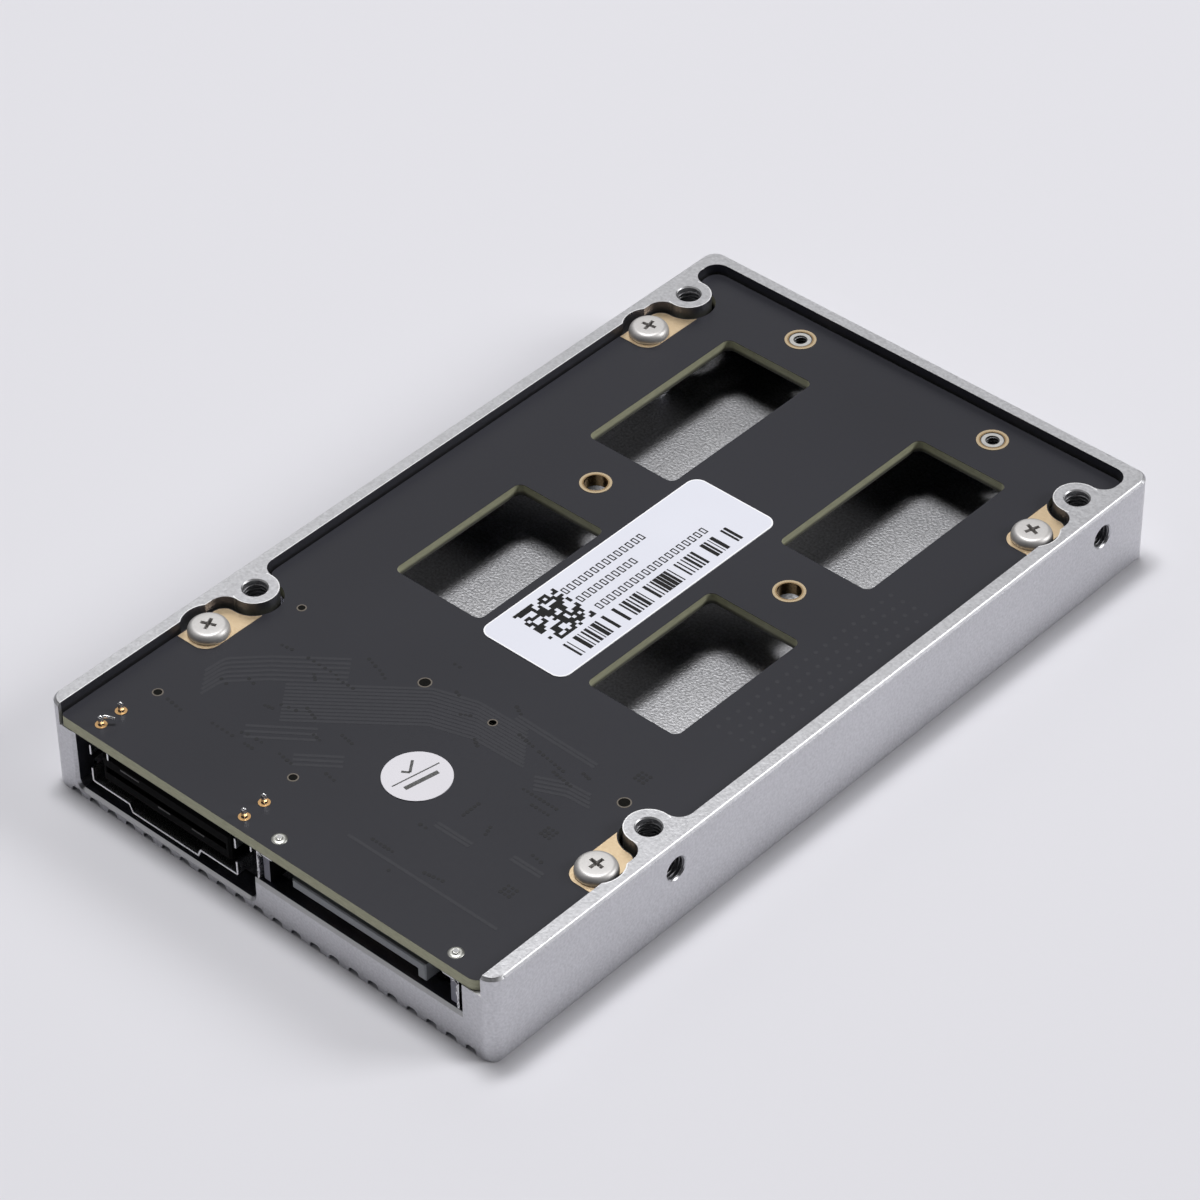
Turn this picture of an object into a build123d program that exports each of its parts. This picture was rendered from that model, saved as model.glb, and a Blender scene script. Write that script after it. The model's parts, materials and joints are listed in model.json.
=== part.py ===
from build123d import *
import os

# Adapter card in a ribbed tray. Front (connector end) is -Y, right is +X, up is +Z.
# The origin is under the middle of the tray, on the plane of the rib undersides.

# Tray, outside
length = 115.4
width = 69.85
height = 12.5
corner_r = 2.0
rim_chamfer = 0.35
side_round = 0.85
rim_w = 1.925
far_rim_w = 1.85
groove_pitch = 2.975
groove_width = 1.55
groove_depth = 0.75
groove_bevel = 0.3
plain_edge_w = 2.8

# Threaded holes in the rim bosses and in both sides, 61.72 by 76.6 apart as drive bays have them
boss_side_in = 4.065
boss_far_in = 9.45
boss_near_in = 29.35
thread_r = 1.5
mouth_r = 1.65
boss_hole_depth = 5.0
side_hole_drop = 3.8
side_hole_depth = 2.6

# Tray, inside
board_drop = 1.4
board_t = 1.6
lobe_r = 2.9
lobe_blend = 2.0
ledge_w = 1.8
far_ledge_w = 1.0
floor_t = 3.0
well_round = 0.7
front_wall = 2.5

# Screws that hold the board, each a little inside and in front of a boss
screw_in = 0.46
screw_step = 8.05
screw_head_r = 2.55
screw_head_h = 1.25
screw_brim_h = 0.45
screw_flat_r = 1.6
screw_r = 1.0
screw_reach = 4.0
screw_end_room = 0.5
screw_fit = 0.06
board_hole_fit = 0.45
cross_l = 2.6
cross_w = 0.62
cross_depth = 0.75
cross_taper = 12
scallop_gap = 0.75
post_r = 2.8

# Circuit board
board_gap = 0.25
board_front_in = 0.1
board_left_corner_r = 0.5
notch_gap = 0.5
window_middle_gap = 8.375
window_r = 1.0
window_fixing_gap = 5.75
window_far_gap = 6.1
window_near_gap = 6.0
window_socket_gap = 10.25
plating = 0.05
pad_inner_w = 3.0
pad_front_l = 2.9
pad_back_in = 1.9
pad_round = 2.0
pad_inset = 0.15

# Module mounting, 30.6 apart: edge sockets at the near end, fixings for modules of 42 and of 80
module_near_in = 29.4
short_module_l = 42.0
module_grip = 4.0
fixing_far_in = 6.0
ring_r = 2.0
barrel_r = 1.65
barrel_fit = 0.03
barrel_wall = 0.15
standoff_r = 2.4
standoff_h = 2.5
standoff_bore_r = 0.85
socket_side_gap = 4.9
socket_middle_gap = 8.6
socket_l = 8.6
socket_floor_gap = 2.3
socket_bevel = 0.5
slot_low = 0.7
slot_h = 1.05
slot_side_in = 0.9
slot_end_room = 0.2
slot_lip_in = 1.4
key_side_in = 4.0
key_w = 1.2

# Data connector, left of the middle, and its mouth in the front wall
data_side_gap = 6.65
data_mouth_room = 2.525
data_mouth_r = 1.0
data_sill_z = 1.3
data_bay_l = 15.0
sill_chamfer = 0.35
sheet = 0.25
shell_w = 23.75
shell_sill_gap = 2.25
shell_l = 13.5
shell_front_in = 0.1
shell_round = 0.35
shell_top_cut = 1.0
shell_top_gap = 0.4
hood_side_in = 5.975
hood_h = 1.05
hood_slope = 0.5
latch_drop = 1.8
latch_low = 2.05
latch_l = 2.9
leg_in = 0.285
leg_rows_in = (1.95, 5.05)
leg_size = 0.45
leg_proud = 1.15
leg_hole_r = 0.45
core_fit = 0.05
core_side_room = 0.15
core_block_l = 5.9
nose_side_in = 1.475
nose_low = 0.9
nose_drop = 1.15
nose_front_in = 0.5
nose_bevel = 0.3
card_slot_in = 0.65
card_slot_h = 0.9
card_slot_depth = 5.0

# Power plug, which takes the rest of the front, and its shallower mouth
plug_side_gap = 6.025
plug_shell_gap = 3.825
power_mouth_room = 1.3
power_mouth_h = 4.6
plug_l = 4.5
plug_sill_gap = 0.25
plug_face_in = 4.5
plug_top_in = 2.7
plug_arm_w = 0.95
plug_arm_in = 0.6
blade_side_in = 4.6
blade_t = 1.27
blade_drop = 1.3
blade_front_in = 0.45
blade_turn_w = 1.25
blade_turn_low = 0.6
blade_bevel = 0.15
clip_t = 0.3
clip_fit = 0.1
clip_gap = 0.35
clip_low = 0.15
clip_l = 4.1
clip_front_in = 0.2
clip_leg_side_in = 1.35
clip_leg_in = 2.0
clip_leg_r = 0.3
clip_leg_proud = 0.35
clip_toe = 0.4

# Label and sticker
label_x = -0.5
label_w = 13.15
label_r = 1.6
label_near_past = 1.6
label_far_past = 2.75
sticker_r = 4.1
sticker_x = 5.0
sticker_near_in = 19.4
paper_t = 0.1

# Parts on the hidden side of the board, in the strip between connectors and sockets
choke_w = 6.6
choke_h = 3.0
choke_bevel = 0.4
choke_side_gap = 5.1
chip_w = 4.0
chip_h = 0.9
chip_bevel = 0.08
chip_gap = 3.4
chip_near_gap = 1.7
clock_w = 5.0
clock_side_in = 5.9

# Levels and lines that several pieces share
front_y = -length / 2
ledge_z = height - board_drop - board_t
board_top = ledge_z + board_t
floor_z = floor_t
seat_x = width / 2 - rim_w
seat_far_y = length / 2 - far_rim_w
well_x = seat_x - ledge_w
board_x = seat_x - board_gap
board_far_y = seat_far_y - board_gap
board_front_y = front_y + board_front_in
board_corner_r = lobe_blend - board_gap
boss_x = width / 2 - boss_side_in
boss_far_y = length / 2 - boss_far_in
boss_near_y = front_y + boss_near_in
groove_count = int((width - 2 * plain_edge_w) / groove_pitch) + 1
socket_w = well_x - socket_side_gap - socket_middle_gap / 2
slot_w = socket_w - 2 * slot_side_in
module_x = well_x - socket_side_gap - socket_w / 2
window_w = 2 * (module_x - window_middle_gap)
far_fixing_y = length / 2 - fixing_far_in
module_edge_y = front_y + module_near_in
mid_fixing_y = module_edge_y + short_module_l
socket_mouth_y = module_edge_y + module_grip
socket_near_y = socket_mouth_y - socket_l
socket_h = ledge_z - floor_z - socket_floor_gap
slot_z = ledge_z - socket_h + slot_low + slot_h / 2
data_x = (data_side_gap + shell_w / 2) - width / 2
shell_front_y = front_y + shell_front_in
shell_back_y = shell_front_y + shell_l
shell_low_z = data_sill_z + shell_sill_gap
shell_hood_z = shell_low_z - hood_h
shell_inset = sheet + core_fit
nose_low_z = shell_low_z + nose_low
nose_top_z = ledge_z - nose_drop
plug_w = width - data_side_gap - shell_w - plug_shell_gap - plug_side_gap
power_x = width / 2 - plug_side_gap - plug_w / 2
blade_w = plug_w - 2 * blade_side_in
plug_face_y = front_y + plug_face_in
plug_back_y = plug_face_y + plug_l
power_sill_z = ledge_z - power_mouth_h
plug_low_z = power_sill_z + plug_sill_gap
plug_h = ledge_z - plug_low_z
strip_y = (plug_back_y + socket_near_y) / 2

# Places of what repeats: left then right, near then far
bosses = [(side * boss_x, y) for side in (-1, 1) for y in (boss_near_y, boss_far_y)]
screws = [(x - side * screw_in, y - screw_step) for side, (x, y) in zip((-1, -1, 1, 1), bosses)]
fixings = [(side * module_x, y) for side in (-1, 1) for y in (mid_fixing_y, far_fixing_y)]
windows = [
    (socket_mouth_y + window_socket_gap, mid_fixing_y - window_near_gap),
    (mid_fixing_y + window_far_gap, far_fixing_y - window_fixing_gap),
]
data_leg_xs = (data_x - shell_w / 2 + leg_in, data_x + shell_w / 2 - leg_in)
data_legs = [(x, front_y + leg_in) for x in data_leg_xs for leg_in in leg_rows_in]
clip_x = (plug_w + clip_t) / 2 + clip_gap
clip_leg_x = plug_w / 2 - clip_leg_side_in
clip_legs = [(power_x + side * clip_leg_x, front_y + clip_leg_in) for side in (-1, 1)]

os.makedirs("parts", exist_ok=True)


def save(builder, label):
    """Names a finished piece and writes it to its own file."""
    builder.part.label = label
    export_step(builder.part, f"parts/{label}.step")


def span(low, high):
    """Middle and size of the stretch between two limits."""
    return (low + high) / 2, abs(high - low)


def facing_front(y):
    """Upright plane that faces the front, at a place along the card."""
    return Plane.XZ.offset(-y)


def hidden_hole(inner_r):
    """Clearance hole that a screw head or solder covers, drawn with eight sides."""
    return RegularPolygon(inner_r, 8, major_radius=False, mode=Mode.SUBTRACT)


# Tray: ribbed section drawn along its whole length, corners rounded in plan, then machined
with BuildPart() as case_tray:
    with BuildSketch(facing_front(length / 2)) as section:
        with Locations((0, height / 2)):
            Rectangle(width, height)
        with GridLocations(groove_pitch, 0, groove_count, 1):
            Rectangle(groove_width, 2 * groove_depth, mode=Mode.SUBTRACT)
        chamfer(section.vertices().group_by(Axis.Y)[1], length=groove_bevel)
        undersides = section.vertices().group_by(Axis.Y)[0].sort_by(Axis.X)
        fillet([undersides[0], undersides[-1]], radius=side_round)
    extrude(amount=length)
    with BuildSketch():
        RectangleRounded(width, length, corner_r)
    extrude(amount=height, mode=Mode.INTERSECT)
    chamfer(case_tray.faces().sort_by(Axis.Z)[-1].outer_wire().edges(), length=rim_chamfer)

    # Seat for the board, open to the front, with a round lobe left standing at each boss
    seat_y, seat_l = span(-length, seat_far_y)
    with BuildSketch(Plane.XY.offset(ledge_z)) as seat:
        with Locations((0, seat_y)):
            Rectangle(2 * seat_x, seat_l)
        with Locations(*bosses):
            Circle(lobe_r, mode=Mode.SUBTRACT)
        fillet(seat.vertices(), radius=lobe_blend)
        with Locations(*screws):
            Circle(screw_head_r + scallop_gap)
    extrude(amount=height, mode=Mode.SUBTRACT)

    # Well under the board, with boss columns and screw posts left standing
    well_y, well_l = span(front_y + front_wall, seat_far_y - far_ledge_w)
    with BuildSketch(Plane.XY.offset(floor_z)) as well:
        with Locations((0, well_y)):
            RectangleRounded(2 * well_x, well_l, well_round)
        with Locations(*bosses):
            Circle(lobe_r, mode=Mode.SUBTRACT)
        with Locations(*screws):
            Circle(post_r, mode=Mode.SUBTRACT)
    extrude(amount=height, mode=Mode.SUBTRACT)

    # Mouth and bay of the data connector, open to the rim, then the shallower mouth of the plug
    with BuildSketch(facing_front(front_y)) as data_mouth:
        with Locations((data_x, ledge_z)):
            Rectangle(shell_w + 2 * data_mouth_room, 2 * (ledge_z - data_sill_z))
        fillet(data_mouth.vertices().group_by(Axis.Y)[0], radius=data_mouth_r)
    extrude(amount=-data_bay_l, mode=Mode.SUBTRACT)
    plug_mouth_x, plug_mouth_w = span(data_x, power_x + plug_w / 2 + power_mouth_room)
    with BuildSketch(facing_front(front_y)):
        with Locations((plug_mouth_x, ledge_z)):
            Rectangle(plug_mouth_w, 2 * power_mouth_h)
    extrude(amount=-front_wall, mode=Mode.SUBTRACT)
    front_edges = case_tray.edges().filter_by(Axis.X).group_by(Axis.Y)[0]
    sills = front_edges.filter_by_position(Axis.Z, groove_depth + sill_chamfer, ledge_z - sill_chamfer)
    chamfer(sills, length=sill_chamfer)

    # Threaded holes: four in the bosses, two in each side, and one in each screw post
    with Locations(*[(x, y, height) for x, y in bosses]):
        CounterSinkHole(thread_r, mouth_r, depth=boss_hole_depth, counter_sink_angle=90)
    for side in (-1, 1):
        for y in (boss_near_y, boss_far_y):
            with Locations(Plane(origin=(side * width / 2, y, height - side_hole_drop), z_dir=(side, 0, 0))):
                CounterSinkHole(thread_r, mouth_r, depth=side_hole_depth, counter_sink_angle=90)
    with BuildSketch(Plane.XY.offset(ledge_z)):
        with Locations(*screws):
            RegularPolygon(screw_r + screw_fit, 8, major_radius=False)
    extrude(amount=-screw_reach - screw_end_room, mode=Mode.SUBTRACT)
save(case_tray, "case_tray")

# Board: one flat outline with its windows, boss notches and every drilled hole
with BuildPart() as circuit_board:
    board_y, board_l = span(board_front_y, board_far_y)
    with BuildSketch(Plane.XY.offset(ledge_z)) as outline:
        with Locations((0, board_y)):
            Rectangle(2 * board_x, board_l)
        fillet(outline.vertices().group_by(Axis.Y)[0].sort_by(Axis.X)[0], radius=board_left_corner_r)
        with Locations(*bosses):
            Circle(lobe_r + notch_gap, mode=Mode.SUBTRACT)
        back_corners = outline.vertices().filter_by_position(Axis.Y, front_y + front_wall, board_far_y)
        front_right = outline.vertices().group_by(Axis.Y)[0].sort_by(Axis.X)[-1]
        fillet(back_corners + [front_right], radius=board_corner_r)
        for window_near_y, window_far_y in windows:
            window_y, window_l = span(window_near_y, window_far_y)
            with Locations((-module_x, window_y), (module_x, window_y)):
                RectangleRounded(window_w, window_l, window_r, mode=Mode.SUBTRACT)
        with Locations(*screws):
            hidden_hole(screw_r + board_hole_fit)
        with Locations(*fixings):
            Circle(barrel_r + barrel_fit, mode=Mode.SUBTRACT)
        with Locations(*data_legs, *clip_legs):
            hidden_hole(leg_hole_r)
    extrude(amount=board_t)
save(circuit_board, "circuit_board")


def make_screw(label, x, y, turn):
    """Pan head screw with a cross recess, its head on the plating at x, y."""
    seat_z = board_top + plating
    tip = ledge_z - screw_reach - seat_z
    with BuildPart() as screw:
        with BuildSketch(Plane(origin=(x, y, seat_z), x_dir=(1, 0, 0), z_dir=(0, -1, 0))):
            with BuildLine():
                Polyline(
                    (0, screw_head_h), (0, tip), (screw_r, tip), (screw_r, 0), (screw_head_r, 0),
                    (screw_head_r, screw_brim_h), (screw_flat_r, screw_head_h), close=True,
                )
            make_face()
        revolve(axis=Axis((x, y, seat_z), (0, 0, 1)))
        with BuildSketch(Plane(origin=(x, y, seat_z + screw_head_h), z_dir=(0, 0, 1)).rotated((0, 0, turn))):
            Rectangle(cross_l, cross_w)
            Rectangle(cross_w, cross_l)
        extrude(amount=-cross_depth, taper=cross_taper, mode=Mode.SUBTRACT)
    save(screw, label)


def make_pad(label, side, boss_y):
    """Bare gold plating under one screw, kept inside the outline of the board."""
    pad_x, pad_w = span(boss_x - pad_inner_w, board_x)
    pad_y, pad_l = span(boss_y - screw_step - pad_front_l, boss_y - pad_back_in)
    with BuildPart() as pad:
        with BuildSketch(Plane.XY.offset(board_top)) as shape:
            with Locations((side * pad_x, pad_y)):
                Rectangle(pad_w, pad_l)
            near = shape.vertices().group_by(Axis.Y)[0].sort_by(Axis.X)
            fillet(near[0] if side > 0 else near[-1], radius=pad_round)
            offset(outline.sketch_local, amount=-pad_inset, mode=Mode.INTERSECT)
        extrude(amount=plating)
    save(pad, label)


places = ("near_left", "far_left", "near_right", "far_right")
for place, (boss_at, boss_y), (x, y) in zip(places, bosses, screws):
    make_screw(f"board_screw_{place}", x, y, turn=x + y)
    make_pad(f"ground_pad_{place}", 1 if boss_at > 0 else -1, boss_y)


def make_ring(label, x, y):
    """Plated barrel through the board with a flat ring at its top."""
    with BuildPart() as ring:
        with BuildSketch(Plane.XY.offset(board_top)):
            with Locations((x, y)):
                Circle(ring_r)
        extrude(amount=plating)
        with BuildSketch(Plane.XY.offset(ledge_z)):
            with Locations((x, y)):
                Circle(barrel_r)
        extrude(amount=board_t)
        with Locations((x, y, board_top + plating)):
            Hole(barrel_r - barrel_wall)
    save(ring, label)


def make_standoff(label, x, y):
    """Threaded standoff hanging under the board, its neck seen inside the plated ring."""
    with BuildPart() as standoff:
        with BuildSketch(Plane.XY.offset(ledge_z)):
            with Locations((x, y)):
                Circle(standoff_r)
        extrude(amount=-standoff_h)
        with BuildSketch(Plane.XY.offset(ledge_z)):
            with Locations((x, y)):
                Circle(barrel_r - barrel_wall - barrel_fit)
        extrude(amount=board_t)
        with Locations((x, y, board_top)):
            Hole(standoff_bore_r)
    save(standoff, label)


for (x, y), place in zip(fixings, ("mid_left", "far_left", "mid_right", "far_right")):
    make_ring(f"plated_ring_{place}", x, y)
make_standoff("standoff_left", -module_x, far_fixing_y)
make_standoff("standoff_right", module_x, far_fixing_y)


def make_socket(label, x):
    """Edge socket for one module, hanging under the board with its slot facing the far end."""
    socket_y = socket_mouth_y - socket_l / 2
    slot_depth = module_grip + slot_end_room
    with BuildPart() as socket:
        with BuildSketch(Plane.XY.offset(ledge_z)):
            with Locations((x, socket_y)):
                Rectangle(socket_w, socket_l)
        extrude(amount=-socket_h)
        chamfer(socket.edges().filter_by(Axis.X).group_by(Axis.Z)[0], length=socket_bevel)
        with BuildSketch(facing_front(socket_mouth_y)):
            with Locations((x, slot_z)):
                Rectangle(slot_w, slot_h)
        extrude(amount=slot_depth, mode=Mode.SUBTRACT)
        # The lip away from the board is cut back, so that a module can be tilted in
        lip_z, lip_h = span(slot_z, ledge_z - socket_h)
        with BuildSketch(facing_front(socket_mouth_y)):
            with Locations((x, lip_z)):
                Rectangle(slot_w, lip_h)
        extrude(amount=slot_lip_in, mode=Mode.SUBTRACT)
        with BuildSketch(facing_front(socket_mouth_y - slot_lip_in)):
            with Locations((x + slot_w / 2 - key_side_in, slot_z)):
                Rectangle(key_w, slot_h)
        extrude(amount=slot_depth - slot_lip_in)
    save(socket, label)


make_socket("module_socket_left", -module_x)
make_socket("module_socket_right", module_x)

# Data connector shell: a closed stamped tube with a stepped hood, latch slots and four legs
with BuildPart() as data_shell:
    half = shell_w / 2
    hood = half - hood_side_in
    with BuildSketch(facing_front(shell_back_y)) as tube:
        with BuildLine():
            Polyline(
                (data_x - half, ledge_z), (data_x - half, shell_low_z), (data_x - hood, shell_low_z),
                (data_x - hood + hood_slope, shell_hood_z), (data_x + hood - hood_slope, shell_hood_z),
                (data_x + hood, shell_low_z), (data_x + half, shell_low_z), (data_x + half, ledge_z),
                close=True,
            )
        make_face()
        corners = tube.vertices().sort_by(Axis.X)
        fillet(corners[:2] + corners[-2:], radius=shell_round)
        offset(amount=-sheet, mode=Mode.SUBTRACT)
    extrude(amount=shell_l)
    with BuildSketch(facing_front(shell_front_y)):
        with Locations((data_x, ledge_z)):
            Rectangle(2 * shell_w, 2 * shell_top_gap)
    extrude(amount=-shell_top_cut, mode=Mode.SUBTRACT)
    latch_z, latch_h = span(shell_low_z + latch_low, ledge_z - latch_drop)
    with BuildSketch(facing_front(shell_front_y)):
        with Locations((data_x - half, latch_z), (data_x + half, latch_z)):
            Rectangle(4 * sheet, latch_h)
    extrude(amount=-latch_l, mode=Mode.SUBTRACT)
    with BuildSketch(Plane.XY.offset(ledge_z - sheet)):
        with Locations(*data_legs):
            Rectangle(leg_size, leg_size)
    extrude(amount=sheet + board_t + leg_proud)
save(data_shell, "data_connector_shell")

# Core of the data connector: a rear block that fills the shell, and a nose with the card slot
with BuildPart() as data_core:
    core_y = shell_back_y - core_block_l
    core_top = ledge_z - shell_inset
    core_z, core_h = span(shell_low_z + shell_inset, core_top)
    hood_z, hood_fill = span(shell_hood_z + shell_inset, core_z)
    with BuildSketch(facing_front(core_y)):
        with Locations((data_x, core_z)):
            Rectangle(shell_w - 2 * shell_inset - 2 * core_side_room, core_h)
        with Locations((data_x, hood_z)):
            Rectangle(2 * (hood - shell_inset - hood_slope), hood_fill)
    extrude(amount=-core_block_l)
    nose_z, nose_h = span(nose_low_z, nose_top_z)
    nose_w = shell_w - 2 * nose_side_in
    nose_y = front_y + nose_front_in
    with BuildSketch(facing_front(core_y)):
        with Locations((data_x, nose_z)):
            Rectangle(nose_w, nose_h)
    extrude(amount=core_y - nose_y)
    chamfer(data_core.faces().sort_by(Axis.Y)[0].outer_wire().edges(), length=nose_bevel)
    with BuildSketch(facing_front(nose_y)):
        with Locations((data_x, nose_z)):
            Rectangle(nose_w - 2 * card_slot_in, card_slot_h)
    extrude(amount=-card_slot_depth, mode=Mode.SUBTRACT)
save(data_core, "data_connector_core")


# Power plug: rear block with two end arms, open between them
with BuildPart() as plug_body:
    plug_y, _ = span(plug_face_y, plug_back_y)
    arm_y, arm_l = span(front_y + plug_arm_in, plug_y)
    arm_x = plug_w / 2 - plug_arm_w / 2
    with BuildSketch(Plane.XY.offset(plug_low_z)):
        with Locations((power_x, plug_y)):
            Rectangle(plug_w, plug_l)
        with Locations((power_x - arm_x, arm_y), (power_x + arm_x, arm_y)):
            Rectangle(plug_arm_w, arm_l)
    extrude(amount=plug_h - clip_t - clip_fit)
    chamfer(plug_body.edges().filter_by(Axis.X).group_by(Axis.Y)[0], length=blade_bevel)
    with BuildSketch(Plane.XY.offset(plug_low_z)):
        with Locations((power_x, plug_y)):
            Rectangle(plug_w - 2 * plug_top_in, plug_l)
    extrude(amount=plug_h)
save(plug_body, "power_plug_body")

# Blade of the power plug: flat, with an L-shaped turn at its right end
with BuildPart() as plug_blade:
    blade_top = ledge_z - blade_drop
    with BuildSketch(facing_front(plug_face_y)):
        with Locations((power_x, blade_top - blade_t / 2)):
            Rectangle(blade_w, blade_t)
        turn_z, turn_h = span(plug_low_z + blade_turn_low, blade_top)
        with Locations((power_x + blade_w / 2 - blade_turn_w / 2, turn_z)):
            Rectangle(blade_turn_w, turn_h)
    extrude(amount=plug_face_in - blade_front_in)
    chamfer(plug_blade.faces().sort_by(Axis.Y)[0].outer_wire().edges(), length=blade_bevel)
save(plug_blade, "power_plug_blade")


def make_clip(label, side):
    """Spring clip at one end of the power plug: an upright, a toe under the board, and a leg."""
    upright_x = power_x + side * clip_x
    leg_at_x = power_x + side * clip_leg_x
    toe_x, toe_w = span(upright_x + side * clip_t / 2, leg_at_x - side * clip_toe)
    clip_y = front_y + clip_front_in + clip_l / 2
    with BuildPart() as clip:
        with BuildSketch(Plane.XY.offset(ledge_z)):
            with Locations((upright_x, clip_y)):
                Rectangle(clip_t, clip_l)
        extrude(amount=clip_low - plug_h)
        with BuildSketch(Plane.XY.offset(ledge_z)):
            with Locations((toe_x, clip_y)):
                Rectangle(toe_w, clip_l)
        extrude(amount=-clip_t)
        with BuildSketch(Plane.XY.offset(ledge_z - clip_t)):
            with Locations((leg_at_x, front_y + clip_leg_in)):
                Circle(clip_leg_r)
        extrude(amount=clip_t + board_t + clip_leg_proud)
    save(clip, label)


make_clip("power_plug_clip_left", -1)
make_clip("power_plug_clip_right", 1)

with BuildPart() as board_label:
    label_y, label_l = span(windows[0][0] - label_near_past, windows[1][0] + label_far_past)
    with BuildSketch(Plane.XY.offset(board_top)):
        with Locations((label_x, label_y)):
            RectangleRounded(label_w, label_l, label_r)
    extrude(amount=paper_t)
save(board_label, "board_label")

with BuildPart() as check_sticker:
    with BuildSketch(Plane.XY.offset(board_top)):
        with Locations((sticker_x, front_y + sticker_near_in)):
            Circle(sticker_r)
    extrude(amount=paper_t)
save(check_sticker, "check_sticker")


def make_block(label, x, y, size, tall, bevel):
    """Square part hanging under the board, with bevelled lower edges."""
    with BuildPart() as block:
        with BuildSketch(Plane.XY.offset(ledge_z)):
            with Locations((x, y)):
                Rectangle(size, size)
        extrude(amount=-tall)
        chamfer(block.faces().sort_by(Axis.Z)[0].outer_wire().edges(), length=bevel)
    save(block, label)


right_choke_x = well_x - choke_side_gap - choke_w / 2
right_chip_x = right_choke_x - choke_w / 2 - chip_gap - chip_w / 2
left_choke_x = right_chip_x - chip_w / 2 - chip_gap - choke_w / 2
left_chip_x = left_choke_x - choke_w / 2 - chip_near_gap - chip_w / 2
clock_x = data_x - shell_w / 2 + clock_side_in + clock_w / 2
clock_y = (shell_back_y + socket_near_y) / 2
make_block("power_choke_left", left_choke_x, strip_y, choke_w, choke_h, choke_bevel)
make_block("power_choke_right", right_choke_x, strip_y, choke_w, choke_h, choke_bevel)
make_block("converter_chip_left", left_chip_x, strip_y, chip_w, chip_h, chip_bevel)
make_block("converter_chip_right", right_chip_x, strip_y, chip_w, chip_h, chip_bevel)
make_block("clock_chip", clock_x, clock_y, clock_w, chip_h, chip_bevel)
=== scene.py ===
import json
import math

import bmesh
import bpy
from mathutils import Euler, Matrix, Vector


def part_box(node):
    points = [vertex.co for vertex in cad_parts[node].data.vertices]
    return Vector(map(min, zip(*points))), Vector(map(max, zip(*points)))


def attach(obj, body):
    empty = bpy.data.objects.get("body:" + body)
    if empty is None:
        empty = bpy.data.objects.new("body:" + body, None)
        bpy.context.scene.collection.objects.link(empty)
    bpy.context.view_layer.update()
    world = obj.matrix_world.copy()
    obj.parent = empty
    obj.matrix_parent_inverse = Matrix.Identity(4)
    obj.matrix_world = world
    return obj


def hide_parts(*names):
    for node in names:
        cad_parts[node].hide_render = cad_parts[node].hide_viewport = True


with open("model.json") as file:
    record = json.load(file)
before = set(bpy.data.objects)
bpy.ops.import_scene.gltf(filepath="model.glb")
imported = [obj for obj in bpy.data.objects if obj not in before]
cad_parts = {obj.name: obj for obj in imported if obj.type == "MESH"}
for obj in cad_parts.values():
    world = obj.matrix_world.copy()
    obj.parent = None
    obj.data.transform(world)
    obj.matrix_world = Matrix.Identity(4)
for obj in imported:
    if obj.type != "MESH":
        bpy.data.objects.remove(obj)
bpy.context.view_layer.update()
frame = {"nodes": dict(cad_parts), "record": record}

# Looks of a drive-bay adapter card. Front (connector end) is -Y, right is +X, up is +Z.
mm = 0.001

# Places that the dressing is worked out from, in metres
tray_low, tray_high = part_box("case_tray")
board_low, board_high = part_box("circuit_board")
board_top = board_high.z
label_low, label_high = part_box("board_label")
sticker_low, sticker_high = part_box("check_sticker")
shell_low, shell_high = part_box("data_connector_shell")
core_low, core_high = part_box("data_connector_core")
blade_low, blade_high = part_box("power_plug_blade")
socket_low, socket_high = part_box("module_socket_left")
plug_low, plug_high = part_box("power_plug_body")
module_x = (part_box("plated_ring_mid_right")[0].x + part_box("plated_ring_mid_right")[1].x) / 2
data_x = (shell_low.x + shell_high.x) / 2
plug_x = (blade_low.x + blade_high.x) / 2
corners = ("near_left", "near_right", "far_left", "far_right")
screw_axes = [(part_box(f"board_screw_{place}")[0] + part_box(f"board_screw_{place}")[1]) / 2
              for place in corners]
screw_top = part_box("board_screw_near_left")[1].z
ring_names = [f"plated_ring_{place}" for place in ("mid_left", "mid_right", "far_left", "far_right")]
ring_axes = [(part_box(name)[0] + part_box(name)[1]) / 2 for name in ring_names]
standoff_axes = [(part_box(name)[0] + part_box(name)[1]) / 2 for name in ("standoff_left", "standoff_right")]

# Screw pattern of the bay, and the threads
boss_pitch = Vector((61.72, 76.6, 0)) * mm
boss_centre = Vector((0, 9.95, 0)) * mm
boss_axes = [boss_centre + Vector((sx * boss_pitch.x, sy * boss_pitch.y, 0)) / 2
             for sx in (-1, 1) for sy in (-1, 1)]
side_hole_drop = 3.8 * mm
bay_thread = {"Radius": 1.5 * mm, "Pitch": 0.5 * mm, "Ridge": 0.13 * mm}
module_thread = {"Radius": 0.85 * mm, "Pitch": 0.4 * mm, "Ridge": 0.12 * mm}

# Forms of the tray that its finish follows
rim_w = 1.925 * mm
lobe_r = 2.9 * mm
scallop_r = 3.3 * mm
edge_w = 0.14 * mm
mouth_depth = 3.0 * mm
socket_gap = 2.3 * mm
floor_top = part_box("module_socket_left")[0].z - socket_gap

# The tray's faces in millimetres, and shares of a normal that points up or down
rim_plane = tray_high.z / mm
side_plane = tray_high.x / mm
end_plane = tray_high.y / mm
well_plane = floor_top / mm
level_share = 0.95
steep_share = 0.3
edge_slack = 0.05

# Pan head screws that hold the board
head_r = 2.55 * mm
head_h = 1.25 * mm
brim_h = 0.25 * mm
shank_r = 1.0 * mm
crown_r = 1.8 * mm
cross_l = 2.05 * mm
cross_w = 0.50 * mm
cross_depth = 0.8 * mm
cross_taper = 0.8

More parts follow.
